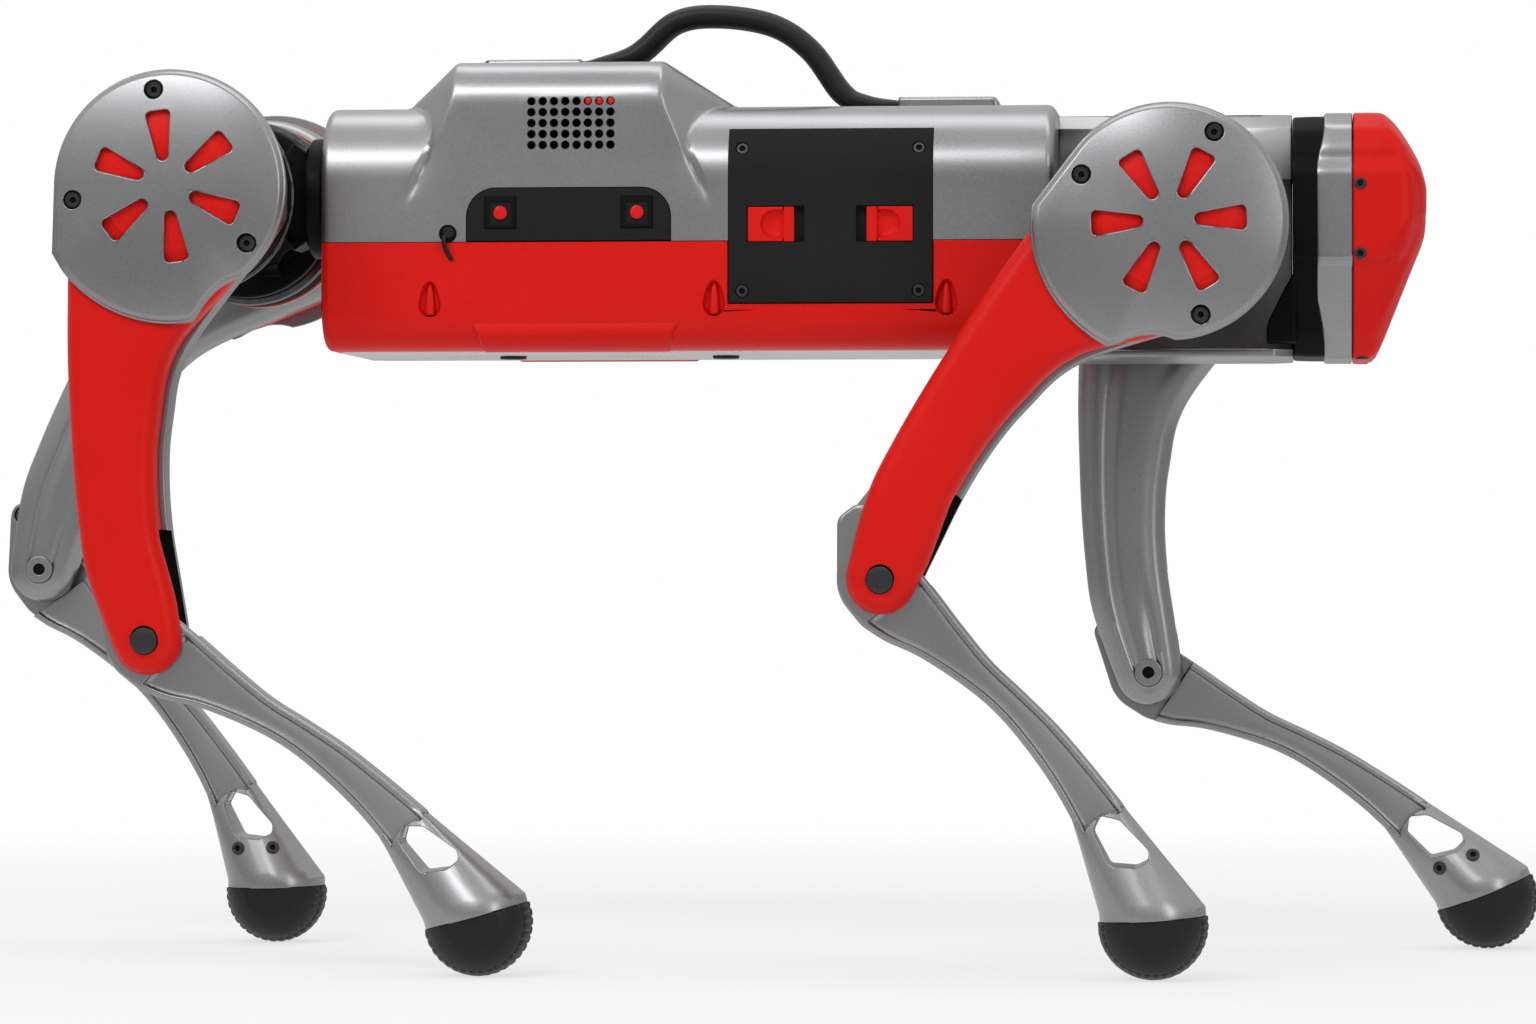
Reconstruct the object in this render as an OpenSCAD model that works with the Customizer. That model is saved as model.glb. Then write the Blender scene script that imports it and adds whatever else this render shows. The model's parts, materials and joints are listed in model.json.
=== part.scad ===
// Quadruped robot dog. Millimetres, +X to the head, +Y to its left, +Z up, feet on z = 0.
// A leg piece is drawn flat in the leg's own plane: x runs down the limb from its upper
// axis, y runs to the limb's front, and z is the distance out from the machine's middle.

/* [Legs] */
// Distance between the hip axis and the knee axis
thigh_len = 228; // [215:1:245]
// Distance between the knee axis and the centre of the foot
shin_len = 218; // [210:1:240]
// Radius of the rubber foot
foot_r = 27.5; // [25:0.5:30]
// Distance from the machine's middle plane to the middle of a leg
leg_y = 135; // [134:1:145]
// Distance between the front and rear hip axes
hip_span = 500; // [498:1:520]
// Place of the front hip axes along the machine
front_hip_x = 232; // [231:1:236]
// Height of the front hip axes over the ground
front_hip_z = 376; // [370:1:380]
// Height of the rear hip axes over the ground
rear_hip_z = 395.8; // [388:0.2:398]

/* [Rest pose] */
// Direction of the right front thigh, from +X, up positive
right_front_thigh = -129; // [-135:1:-115]
// Direction of the right rear thigh
right_rear_thigh = -93.3; // [-100:0.1:-88]
// Direction of the left front thigh
left_front_thigh = -94.5; // [-100:0.5:-88]
// Direction of the left rear thigh
left_rear_thigh = -122.8; // [-128:0.1:-112]

/* [Thigh] */
// Radius of the thigh's round upper end
hip_r = 54; // [52:0.5:55]
// Radius of the thigh's round lower end
knee_r = 17.8; // [17:0.2:20]
// How far the thigh bows to the back
bow = 22; // [20:0.5:24]
// Width of the thigh at its bow
arm_w = 45; // [42:0.5:47]
// Thickness of the inner shell
inner_t = 22.5; // [21:0.5:24]
// Thickness of the outer shell
outer_t = 19; // [18:0.5:21]
// Rounding of the outer shell's edge
outer_edge = 8; // [5:0.5:9]
// Rounding of the inner shell's edge
inner_edge = 5; // [3:0.5:7]

/* [Hip cover] */
// Radius of the cover's round part
cover_r = 59; // [57:0.5:60]
// Radius to the end of the cover's lobe
lobe_r = 69; // [67:0.5:71]
// Thickness of the cover
cover_t = 11; // [10:0.5:13]
// Rounding of the cover's rim
cover_edge = 9; // [6:0.5:9]
// Number of vents
vents = 6; // [5:1:7]
// Radius where the vents start
vent_in = 13; // [11:0.5:15]
// Radius where the vents end
vent_out = 38; // [34:0.5:41]

/* [Knee linkage] */
// Radius of the crank and of the lever behind the knee
lever_r = 32; // [31:0.5:33]
// Radius of the two rod pins
rod_pin_r = 4.5; // [4:0.25:5]
// Width of the push rod
rod_w = 10; // [8:0.5:10]
// Radius of the knee pin
knee_pin_r = 6; // [5:0.25:7]
// Radius of the knee motor
knee_motor_r = 41.5; // [40:0.5:43]
// Radius of the knee motor's shaft
shaft_r = 9; // [8:0.25:9.5]
// Width of the slot for the linkage
slot_w = 17; // [17:0.25:18]

/* [Shin] */
// Width of the shin's shank
shank_w = 19; // [18:0.5:21]
// Depth of the recess in each side of the shin
recess_d = 2.4; // [1.5:0.1:3]

/* [Hip motor] */
// Radius of the hip motor
motor_r = 49; // [46:0.5:50]
// Radius of its output boss in the inner shell
boss_r = 30; // [26:0.5:32]
// Distance from the machine's middle plane to the roll axes
roll_y = 48; // [46:0.5:49]
// Radius of the carrier's flange
flange_r = 31; // [28:0.5:32]
// Radius of the roll shaft
roll_shaft_r = 12; // [10:0.5:14]

/* [Trunk] */
// Distance from the rear hips to the trunk's back end
rear_gap = 64.5; // [64:0.5:67]
// Distance from the trunk's front end to the front hips
front_gap = 60; // [59.5:0.5:63]
// Width of the trunk
trunk_w = 170; // [166:1:178]
// Height of the trunk's top over the ground
trunk_top = 442; // [440:0.5:448]
// Height of the trunk's belly over the ground
trunk_belly = 316; // [312:0.5:320]
// Height of the line between the silver and the red shell
split_z = 371.2; // [369:0.2:374]
// Radius of the trunk's upper corners
top_r = 38; // [34:1:40]
// Radius of the trunk's lower corners
belly_r = 20; // [16:1:24]
// Rounding of the trunk's ends
end_r = 7; // [5:0.5:10]
// Wall of the shells
wall = 4; // [3:0.5:5]
// Height of the hump over the ground
hump_top = 464.5; // [461:0.5:468]
// Length of the hump's flat top
hump_len = 106; // [100:0.5:110]

/* [Head] */
// Width of the head
head_w = 126; // [116:1:132]
// Front of the nose
nose_x = 360; // [354:0.5:366]
// Height of the head's top
head_top = 437.6; // [434:0.2:441]
// Height of the head's lower side
head_low = 311.5; // [308:0.5:314]

/* [Handle] */
// Height of the handle's top over the ground
handle_top = 499; // [496:0.5:504]
// Thickness of the grip
grip_t = 12; // [10:0.5:13]
// Width of the grip
grip_w = 22; // [18:0.5:26]

/* [Panels] */
// Length of the battery's panel
battery_len = 104; // [98:0.5:108]
// How far a dark panel stands out of the shell
proud = 1; // [0.6:0.1:1.4]
// Width of a battery latch
latch_w = 23.6; // [21:0.2:25]
// Height of a battery latch
latch_h = 17.7; // [15:0.1:19]
// Travel of a battery latch
latch_travel = 5; // [4:0.5:5.5]
// Side of a square button
button_w = 16; // [14:0.5:18]
// Travel of a button
button_travel = 1.5; // [1:0.1:2]

/* [Hidden] */
// Clearance between pieces of different bodies
slack = 0.3;
// Running clearance of a pin or shaft in its bore, in radius
run_fit = 0.05;
// Clearance of the pivot where the knee's linkage is opened, in radius
open_fit = 0.5;
// Depth by which a cutter passes a face
cut = 1;
$fn = 64;

rear_hip_x = front_hip_x - hip_span;
trunk_front = front_hip_x - front_gap;
trunk_back = rear_hip_x + rear_gap;
// Name, is it a left leg, hip axis x, hip axis z, direction of the thigh
LEGS = [
    ["right_front", false, front_hip_x, front_hip_z, right_front_thigh],
    ["right_rear", false, rear_hip_x, rear_hip_z, right_rear_thigh],
    ["left_front", true, front_hip_x, front_hip_z, left_front_thigh],
    ["left_rear", true, rear_hip_x, rear_hip_z, left_rear_thigh]
];
LEG_PIECES = [
    "hip_carrier", "hip_motor", "thigh_inner_shell", "thigh_outer_shell", "hip_cover",
    "knee_motor", "knee_crank", "push_rod", "knee_pin", "shin", "foot"
];
TRUNK_PIECES = [
    "upper_shell", "lower_shell", "chassis", "neck_seal", "head_collar", "head_shell",
    "battery", "rear_latch", "front_latch", "button_panel", "rear_button",
    "front_button", "handle_grip", "handle_blocks", "status_lights", "trunk_screws"
];

// ---- Curves and lofts -------------------------------------------------------------

function backwards(p) = [for (i = [len(p) - 1:-1:0]) p[i]];

// Points on an arc about a centre
function arc(centre, r, from, to, steps) =
    [for (i = [0:steps]) centre + r * [cos(from + (to - from) * i / steps),
                                       sin(from + (to - from) * i / steps)]];

// A point between b and c on a smooth curve through a, b, c and d
function between(a, b, c, d, t) =
    0.5 * (2 * b + (c - a) * t + (2 * a - 5 * b + 4 * c - d) * t * t
           + (3 * b - a - 3 * c + d) * t * t * t);

// A smooth closed curve through the points
function closed_curve(p, steps) = let (n = len(p))
    [for (i = [0:n - 1], k = [0:steps - 1])
        between(p[(i + n - 1) % n], p[i], p[(i + 1) % n], p[(i + 2) % n], k / steps)];

// A smooth open curve through the points
function open_curve(p, steps) = let (n = len(p))
    [for (i = [0:n - 2], k = [0:(i == n - 2 ? steps : steps - 1)])
        between(p[max(i - 1, 0)], p[i], p[i + 1], p[min(i + 2, n - 1)], k / steps)];

// A closed solid through rings of equal length, whose points i and n - i lie across from each other
module loft(rings) {
    n = len(rings[0]);
    last = len(rings) - 1;
    sides = [for (k = [0:last - 1], i = [0:n - 1])
        [(k + 1) * n + i, (k + 1) * n + (i + 1) % n, k * n + (i + 1) % n, k * n + i]];
    strip = [for (i = [0:floor(n / 2) - 1]) concat(
        i == 0 ? [0, 1] : [n - i, i, i + 1],
        n - i - 1 == i + 1 ? [] : [n - i - 1])];
    polyhedron(
        points = [for (ring = rings) each ring],
        faces = concat(strip, sides, [for (f = strip) [for (i = backwards(f)) last * n + i]]),
        convexity = 6
    );
}

// An outline moved by d towards its own centre points
function drawn_in(outline, middles, d) =
    [for (i = [0:len(outline) - 1])
        let (way = middles[i] - outline[i]) outline[i] + way * d / norm(way)];

// A plate over an outline from z = low to z = high, its edge rounded at the high side
module rounded_plate(outline, middles, low, high, edge, steps = 3) {
    ring = function (d, z) [for (p = drawn_in(outline, middles, d)) [p.x, p.y, z]];
    loft(concat(
        [ring(0, low)],
        [for (k = [0:steps]) let (a = 90 * k / steps)
            ring(edge * (1 - cos(a)), high - edge + edge * sin(a))]
    ));
}

// A bar between two round ends
module link(r1, r2, length) {
    a = acos((r1 - r2) / length);
    polygon(concat(arc([0, 0], r1, a, 360 - a, 24), arc([length, 0], r2, -a, a, 16)));
}

// A ring about z, from z = low to z = high
module tube(outer, inner, low, high) {
    difference() {
        translate([0, 0, low]) cylinder(r = outer, h = high - low);
        translate([0, 0, low - cut]) cylinder(r = inner, h = high - low + 2 * cut);
    }
}

// ---- Leg frames -------------------------------------------------------------------

// Direction of the shin that sets the foot on the ground
function shin_angle(leg) = -asin((leg[3] - foot_r + thigh_len * sin(leg[4])) / shin_len);

// Direction of the crank and of the lever behind the knee
lever_turn = 166;
function lever_angle(leg) = shin_angle(leg) + lever_turn;

// Children drawn in the leg's plane, about the hip axis, turned to a direction
module at_hip(leg, direction) {
    mirror([0, leg[1] ? 1 : 0, 0]) translate([leg[2], 0, leg[3]])
        rotate([0, -direction, 0]) rotate([90, 0, 0]) children();
}

// The same about the knee axis
module at_knee(leg, direction) {
    mirror([0, leg[1] ? 1 : 0, 0])
        translate([leg[2] + thigh_len * cos(leg[4]), 0, leg[3] + thigh_len * sin(leg[4])])
        rotate([0, -direction, 0]) rotate([90, 0, 0]) children();
}

// ---- Levels across a leg ----------------------------------------------------------

inner_low = leg_y - inner_t;
outer_high = leg_y + outer_t;
cover_high = outer_high + cover_t;
slot_low = leg_y - slot_w / 2;
slot_high = leg_y + slot_w / 2;
rod_low = slot_low + 2 * slack;
rod_high = leg_y - slack;
lever_low = leg_y + slack;
lever_high = slot_high - slack;
boss_top = inner_low + 0.3 * inner_t;

// ---- Thigh ------------------------------------------------------------------------

// Middle line of the thigh, as a distance to the front
function spine(s) = s <= 0 || s >= thigh_len ? 0 : -bow * pow(sin(180 * s / thigh_len), 0.8);

// Place along the thigh and half width there, as shares of its length and its width
THIGH_HALVES = [[0.35, 0.66], [0.51, 0.54], [0.63, 0.5], [0.75, 0.49], [0.87, 0.49]];
function thigh_side(sign) = [for (h = THIGH_HALVES)
    [h[0] * thigh_len, spine(h[0] * thigh_len) + sign * h[1] * arm_w]];
THIGH_OUTLINE = closed_curve(concat(
    arc([0, 0], hip_r, 175, 280, 3),
    thigh_side(-1),
    arc([thigh_len, 0], knee_r, -70, 95, 4),
    backwards(thigh_side(1)),
    arc([0, 0], hip_r, 70, 140, 2)
), 4);
THIGH_MIDDLES = [for (p = THIGH_OUTLINE)
    p.x < 0.25 * thigh_len ? [0, 0] : [min(p.x, thigh_len), spine(min(p.x, thigh_len))]];

// Room inside the thigh for the crank, the rod and the head of the shin
module linkage_room() {
    reach = lever_r + rod_pin_r + 5;
    circle(r = reach);
    translate([0, -lever_r - rod_w / 2 - 2]) square([thigh_len + 60, lever_r + rod_w / 2 - 7]);
    translate([thigh_len, 0]) circle(r = reach + 1);
    translate([0.755 * thigh_len, -rod_w]) square([thigh_len, 60]);
}

// Silver half of the thigh, on the body's side
module thigh_inner_shell(leg) {
    color("silver") at_hip(leg, leg[4]) difference() {
        translate([0, 0, 2 * leg_y - inner_t]) mirror([0, 0, 1])
            rounded_plate(THIGH_OUTLINE, THIGH_MIDDLES, leg_y - inner_t, leg_y, inner_edge);
        translate([0, 0, slot_low]) linear_extrude(slot_w) linkage_room();
        translate([0, 0, inner_low - cut]) cylinder(r = boss_r + run_fit, h = boss_top - inner_low + cut);
        translate([0, 0, inner_low - cut]) cylinder(r = shaft_r + run_fit, h = inner_t + 2 * cut);
        translate([thigh_len, 0, inner_low - cut])
            cylinder(r = knee_pin_r + run_fit, h = inner_t + 2 * cut);
    }
}

// Red half of the thigh, on the outside
module thigh_outer_shell(leg) {
    color("red") at_hip(leg, leg[4]) difference() {
        rounded_plate(THIGH_OUTLINE, THIGH_MIDDLES, leg_y, outer_high, outer_edge);
        translate([0, 0, slot_low]) linear_extrude(slot_w) linkage_room();
        translate([0, 0, slot_high - cut])
            cylinder(r = knee_motor_r + slack, h = outer_high - slot_high + 2 * cut);
        translate([thigh_len, 0, leg_y - cut])
            cylinder(r = knee_pin_r + run_fit, h = outer_t + 2 * cut);
    }
}

// ---- Hip cover --------------------------------------------------------------------

// Direction of the lobe's two ends, from the thigh's own direction
lobe_back = -50;
lobe_front = 14;
disc_end = 42;
cover_flat = 0.62 * cover_r;
COVER_OUTLINE = concat(
    arc([0, 0], cover_r, 180, 270, 15),
    [[cover_flat, -cover_r]],
    arc([0, 0], lobe_r, lobe_back, lobe_front, 12),
    let (a = lobe_r * [cos(lobe_front), sin(lobe_front)],
         c = cover_r * [cos(disc_end), sin(disc_end)],
         b = 0.86 * (a + c) / 2)
        [for (t = [0.15:0.15:0.9]) (1 - t) * (1 - t) * a + 2 * t * (1 - t) * b + t * t * c],
    arc([0, 0], cover_r, disc_end, 174, 22)
);

// One vent, along x
module vent() {
    r = 0.07 * vent_out;
    half = 0.16 * vent_out;
    polygon(concat(
        arc([vent_in + r, 0], r, 90, 270, 8),
        arc([vent_out - r, r - half], r, 270, 360, 4),
        arc([vent_out - r, half - r], r, 0, 90, 4)
    ));
}

// First vent and the three screws, from the thigh's own direction
vent_turn = 191;
SCREW_TURNS = [192, 281, 57.5];
screw_circle = 0.83 * cover_r;
screw_head_r = 4.35;

// Vented cover with its lobe down the thigh
module hip_cover(leg) {
    inside_r = knee_motor_r + 4 * slack + 3;
    color("silver") at_hip(leg, leg[4]) difference() {
        rounded_plate(COVER_OUTLINE, [for (p = COVER_OUTLINE) [0, 0]],
                      outer_high, cover_high, cover_edge, 4);
        translate([0, 0, outer_high - cut]) cylinder(r = inside_r, h = cover_t - 3 + cut);
        for (i = [0:vents - 1]) rotate(vent_turn + i * 360 / vents)
            translate([0, 0, outer_high]) linear_extrude(cover_t + cut) vent();
        for (turn = SCREW_TURNS) rotate(turn) translate([screw_circle, 0, cover_high - 3])
            cylinder(r = screw_head_r + slack, h = 3 + cut);
    }
}

// ---- Knee motor and linkage -------------------------------------------------------

// Motor in the thigh, its red face under the vents, and its shaft through the crank
module knee_motor(leg) {
    face_t = 5.5;
    color("red") at_hip(leg, leg[4]) {
        translate([0, 0, slot_high + slack])
            cylinder(r = knee_motor_r, h = outer_high - slot_high - slack);
        translate([0, 0, outer_high]) cylinder(r = knee_motor_r + 2, h = face_t);
        translate([0, 0, outer_high + face_t - 1.5]) rotate_extrude()
            polygon([[0, 0], [vent_out, 0], [vent_out - 6, 3.2], [vent_in, 3.2], [vent_in - 4, 2], [0, 2]]);
        translate([0, 0, boss_top]) cylinder(r = shaft_r, h = slot_high - boss_top + 2);
    }
}

// Crank on the knee motor's shaft, with the rod's upper pin
module knee_crank(leg) {
    color("dimgray") at_hip(leg, lever_angle(leg)) difference() {
        union() {
            translate([0, 0, lever_low]) linear_extrude(lever_high - lever_low)
                link(shaft_r + 6, rod_pin_r + 4, lever_r);
            translate([lever_r, 0, rod_low]) cylinder(r = rod_pin_r, h = lever_high - rod_low);
        }
        translate([0, 0, lever_low - cut])
            cylinder(r = shaft_r + run_fit, h = lever_high - lever_low + 2 * cut);
    }
}

// Rod from the crank to the lever, beside the thigh's middle line
module push_rod(leg) {
    eye_r = rod_pin_r + 2.2;
    turn = lever_angle(leg) - leg[4];
    color("dimgray") at_hip(leg, leg[4])
        translate([lever_r * cos(turn), lever_r * sin(turn), rod_low]) difference() {
            union() {
                translate([0, -rod_w / 2, 1]) cube([thigh_len, rod_w, rod_high - rod_low - 2]);
                cylinder(r = eye_r, h = rod_high - rod_low);
                translate([thigh_len, 0, 0]) cylinder(r = eye_r, h = rod_high - rod_low);
            }
            translate([0, 0, -cut]) cylinder(r = rod_pin_r + run_fit, h = slot_w);
            translate([thigh_len, 0, -cut]) cylinder(r = rod_pin_r + open_fit, h = slot_w);
        }
}

// Knee pin with its black cap and washer, and the cover's three screws
module knee_pin(leg) {
    head_t = 1.4;
    color("black") at_hip(leg, leg[4]) {
        translate([thigh_len, 0, 0]) {
            translate([0, 0, inner_low]) cylinder(r = knee_pin_r, h = outer_high - inner_low);
            translate([0, 0, outer_high]) cylinder(r = knee_pin_r + 0.5, h = head_t);
            translate([0, 0, inner_low - head_t]) cylinder(r = knee_pin_r + 0.5, h = head_t);
        }
        for (turn = SCREW_TURNS) rotate(turn) translate([screw_circle, 0, cover_high - 3])
            difference() {
                cylinder(r = screw_head_r, h = 2.6);
                translate([0, 0, 1]) cylinder(r = 2.3, h = 3, $fn = 6);
            }
    }
}

// ---- Shin and foot ----------------------------------------------------------------

// Distance from the shin's axis to its bowed middle line
shin_set = 14;
// Place along the shin, middle line and half width, as shares of the three sizes
SHIN_SHAPE = [
    [0.055, -0.16, 1.04], [0.115, 0, 0.92], [0.19, 0.29, 0.69], [0.3, 0.6, 0.485],
    [0.4, 0.88, 0.447], [0.51, 1.02, 0.5], [0.63, 1, 0.574], [0.75, 0.85, 0.7]
];
function shin_side(sign, less = 0) = [for (s = SHIN_SHAPE)
    [s[0] * shin_len, s[1] * shin_set + sign * (s[2] * shank_w - less)]];
shin_low = slot_low + slack;
shin_high = slot_high - slack;
// Radius of the shin's round cup over the foot, its turn, and how far it covers the ball
cup_r = foot_r - 1;
ankle_turn = -34.5;
ankle_cover = -2.9;
rod_clear = 17;
foot_flat = foot_r - 3.5;

// Side view of the shin: round head behind the knee, its lever with a cut corner, and the shank
shin_head_r = 22.3;
module shin_side_view() {
    tip = lever_r + rod_pin_r + 1.2;
    corner_r = 6.5;
    polygon(concat(
        open_curve(shin_side(1), 4),
        backwards(open_curve(shin_side(-1), 4)),
        arc([0, 0], shin_head_r, 275, 225, 6),
        [[0.9 - tip, 0.9], [-tip, 3]],
        arc([corner_r - tip, 11], corner_r, 180, 90, 4)
    ));
}

// Recess in the side of the shank
module shank_recess(rim) {
    linear_extrude(recess_d + cut) polygon(concat(
        open_curve(shin_side(1, rim), 3), backwards(open_curve(shin_side(-1, rim), 3))));
}

// Shank that widens to the round cup over the foot
module ankle() {
    hull() {
        translate([0.7 * shin_len, 0, shin_low]) linear_extrude(shin_high - shin_low)
            polygon([for (s = [-1, 1], x = [0, 1])
                [x == 0 ? 0 : 0.05 * shin_len, 0.9 * shin_set + s * 0.64 * shank_w]]);
        translate([shin_len, 0, leg_y]) rotate(ankle_turn) rotate([0, -90, 0])
            translate([0, 0, -ankle_cover]) cylinder(r = cup_r, h = 5, $fn = 40);
    }
}

// Hole through the shin above the foot
module ankle_window() {
    translate([shin_len, 0]) offset(r = 3) offset(delta = -3)
        polygon([[-60, 5], [-58, 13.5], [-44, 20.5], [-27, 17], [-28, 12], [-36, 0]]);
}

// Silver casting from the knee to the foot
module shin(leg) {
    boss = knee_pin_r + 4;
    color("silver") at_knee(leg, shin_angle(leg)) {
        difference() {
            union() {
                translate([0, 0, shin_low]) linear_extrude(shin_high - shin_low) shin_side_view();
                ankle();
            }
            translate([-100, -100, shin_low - cut])
                cube([100 + rod_clear, 200, lever_low - shin_low + cut]);
            for (side = [shin_high - recess_d, shin_low - cut])
                translate([0, 0, side]) shank_recess(3.4);
            translate([0, 0, leg_y - 60]) linear_extrude(120) ankle_window();
            translate([0, 0, shin_low - cut])
                cylinder(r = knee_pin_r + run_fit, h = slot_w + 2 * cut);
        }
        tube(boss, knee_pin_r + run_fit, shin_low, lever_low + 1);
        rotate(lever_turn) translate([lever_r, 0, rod_low])
            cylinder(r = rod_pin_r, h = lever_high - rod_low);
    }
}

// Rubber foot: a ball with two flat sides under the cup
module foot(leg) {
    color("black") at_knee(leg, shin_angle(leg))
        translate([shin_len, 0, leg_y]) rotate(ankle_turn) difference() {
            rotate_extrude() polygon(concat(
                [[0, -foot_flat]],
                arc([0, 0], foot_r, -asin(foot_flat / foot_r), asin(foot_flat / foot_r), 14),
                [[0, foot_flat]]
            ));
            translate([ankle_cover - 2 * foot_r, -foot_r - cut, -foot_r - cut])
                cube([2 * foot_r, 2 * foot_r + 2 * cut, 2 * foot_r + 2 * cut]);
        }
}

// ---- Hip ----------------------------------------------------------------------------

function is_front(leg) = leg[2] == front_hip_x;
// Distance from the trunk's end to the hip axis
function hip_gap(leg) = is_front(leg) ? front_gap : rear_gap;
motor_low = roll_y + 22;
motor_high = inner_low - slack;

// Children drawn with x away from the trunk's end, about the hip axis
module at_roll(leg) {
    mirror([0, leg[1] ? 1 : 0, 0]) translate([leg[2], 0, leg[3]])
        mirror([is_front(leg) ? 0 : 1, 0, 0]) children();
}

// Black bracket that hinges on the trunk and carries the hip motor
module hip_carrier(leg) {
    face = -hip_gap(leg) + slack;
    plate_t = 12;
    color("black") at_roll(leg) {
        translate([face - 24, -roll_y, 0]) rotate([0, 90, 0]) cylinder(r = roll_shaft_r, h = 26);
        translate([face, -roll_y, 0]) rotate([0, 90, 0]) cylinder(r = flange_r, h = 9);
        difference() {
            hull() {
                translate([face + 8, -roll_y - 20, -22]) cube([2, 40, 44]);
                translate([-motor_r + 10, -motor_low, -34]) cube([motor_r, plate_t, 68]);
            }
            for (side = [-1, 1]) translate([face / 2 - 2, -roll_y, side * 34])
                rotate([90, 0, 0]) cylinder(r = 15, h = 80, center = true);
        }
        translate([0, -motor_low + plate_t, 0]) rotate([90, 0, 0]) cylinder(r = motor_r - 3, h = plate_t);
    }
}

// Black hip motor with its output boss in the thigh
module hip_motor(leg) {
    rib = 2;
    ribs = 4;
    pitch = (motor_high - motor_low - 12) / ribs;
    color("black") at_hip(leg, 0) rotate_extrude() polygon(concat(
        [[0, motor_low], [motor_r - 4, motor_low], [motor_r, motor_low + 4]],
        [for (i = [0:ribs - 1], step = [[0, 0], [-rib, 1], [-rib, pitch / 2], [0, pitch / 2 + 1]])
            [motor_r + step[0], motor_low + 6 + i * pitch + step[1]]],
        [[motor_r, motor_high - 3], [motor_r - 3, motor_high], [boss_r, motor_high],
         [boss_r, boss_top - slack], [0, boss_top - slack]]
    ));
}

// ---- Trunk shells -----------------------------------------------------------------

// Half section of the trunk, drawn in by d, above or below the split
function upper_section(d, low) = let (c = trunk_w / 2 - top_r, z = trunk_top - top_r) concat(
    [[trunk_w / 2 - d, low]],
    arc([c, z], top_r - d, 0, 90, 7), arc([-c, z], top_r - d, 90, 180, 7),
    [[d - trunk_w / 2, low]]);
function lower_section(d, high) = let (c = trunk_w / 2 - belly_r, z = trunk_belly + belly_r) concat(
    [[d - trunk_w / 2, high]],
    arc([-c, z], belly_r - d, 180, 270, 5), arc([c, z], belly_r - d, 270, 360, 5),
    [[trunk_w / 2 - d, high]]);

// A solid along the trunk with rounded ends; section takes the amount to draw in
module along_trunk(section, back, front, less, steps) {
    ring = function (x, d) [for (p = section(d)) [x, p.x, p.y]];
    turns = [for (k = [0:steps]) 90 * k / steps];
    r = end_r - less;
    loft(concat(
        [for (a = turns) ring(back + less + r * (1 - cos(a)), less + r * (1 - sin(a)))],
        [for (a = backwards(turns)) ring(front - less - r * (1 - cos(a)), less + r * (1 - sin(a)))]
    ));
}

// Hump: upright sides that end in a point at each end, round shoulders and sloped ends
hump_back = trunk_back + 64;
hump_front = hump_back + hump_len;
hump_middle = (hump_back + hump_front) / 2;
hump_r = 22;
hump_slopes = [27.5, 36];
hump_tips = [17, 28];
tip_z = 391.6;
module hump() {
    half = trunk_w / 2 - 0.02;
    top_half = trunk_w / 2 - top_r;
    hull() {
        translate([hump_back, 0, 0]) rotate([90, 0, 90]) linear_extrude(hump_len)
            polygon(concat(
                [[half, hump_top - 1.1 * hump_r]],
                arc([half - hump_r, hump_top - hump_r], hump_r, 0, 90, 6),
                arc([hump_r - half, hump_top - hump_r], hump_r, 90, 180, 6),
                [[-half, hump_top - 1.1 * hump_r]]
            ));
        translate([hump_back - hump_tips[0], -half, tip_z])
            cube([hump_len + hump_tips[0] + hump_tips[1], 2 * half, 1]);
        translate([hump_back - hump_slopes[0], -top_half, trunk_top - 1])
            cube([hump_len + hump_slopes[0] + hump_slopes[1], 2 * top_half, 1]);
    }
}

// Holes through the trunk's ends for the four roll shafts
module roll_holes(r) {
    for (leg = LEGS) at_roll(leg) translate([-hip_gap(leg) - 60, -roll_y, 0])
        rotate([0, 90, 0]) cylinder(r = r, h = 62);
}

// Window in the right side, from z = low to z = high
module side_window(x, length, low, high, depth) {
    translate([x, -trunk_w / 2 - 20, low]) cube([length, depth + 20, high - low]);
}

// Silver upper shell with its hump
module upper_shell() {
    color("silver") difference() {
        union() {
            along_trunk(function (d) upper_section(d, split_z + slack / 2), trunk_back, trunk_front, 0, 4);
            hump();
        }
        along_trunk(function (d) upper_section(d, split_z - 2), trunk_back, trunk_front, wall, 2);
        roll_holes(roll_shaft_r + 1);
        battery_opening();
        panel_opening();
        deck_opening();
        for (i = [0:GRILLE[0] - 1], j = [0:GRILLE[1] - 1])
            at_grille(i, j) cylinder(r = hole_r, h = 2 * wall, center = true, $fn = 24);
    }
}

// Red lower shell with its screw channels
module lower_shell() {
    tray = 110;
    color("red") difference() {
        along_trunk(function (d) lower_section(d, split_z - slack / 2), trunk_back, trunk_front, 0, 4);
        along_trunk(function (d) lower_section(d, split_z + 2), trunk_back, trunk_front, wall, 2);
        roll_holes(roll_shaft_r + 1);
        battery_opening();
        for (side = [-1, 1], x = CHANNEL_PLACES) translate([x, side * trunk_w / 2, 0])
            rotate([90, 0, 0]) linear_extrude(5, center = true) screw_channel();
        for (side = [-1, 1]) translate([hump_middle - tray / 2, side * trunk_w / 2, trunk_belly])
            rotate([90, 0, 0]) linear_extrude(2, center = true)
            polygon([[0, 0], [tray, 0], [tray - 8, 11], [8, 11]]);
    }
}

// Teardrop channel round a screw, its point down
CHANNEL_PLACES = [trunk_back + 56.5, -1, trunk_front - 54.5];
channel_r = 5.5;
channel_z = 345;
module screw_channel() {
    polygon(concat(arc([0, channel_z], channel_r, -30, 210, 16), [[0, channel_z - 2.2 * channel_r]]));
}

// ---- Battery, its latches, and the button panel ------------------------------------

battery_middle = 58.5;
battery_low = 339.5;
battery_high = 428.4;
battery_back = battery_middle - battery_len / 2;
latch_z = 379.5;
latch_place = 30.3;
latch_t = 5.5;

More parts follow.
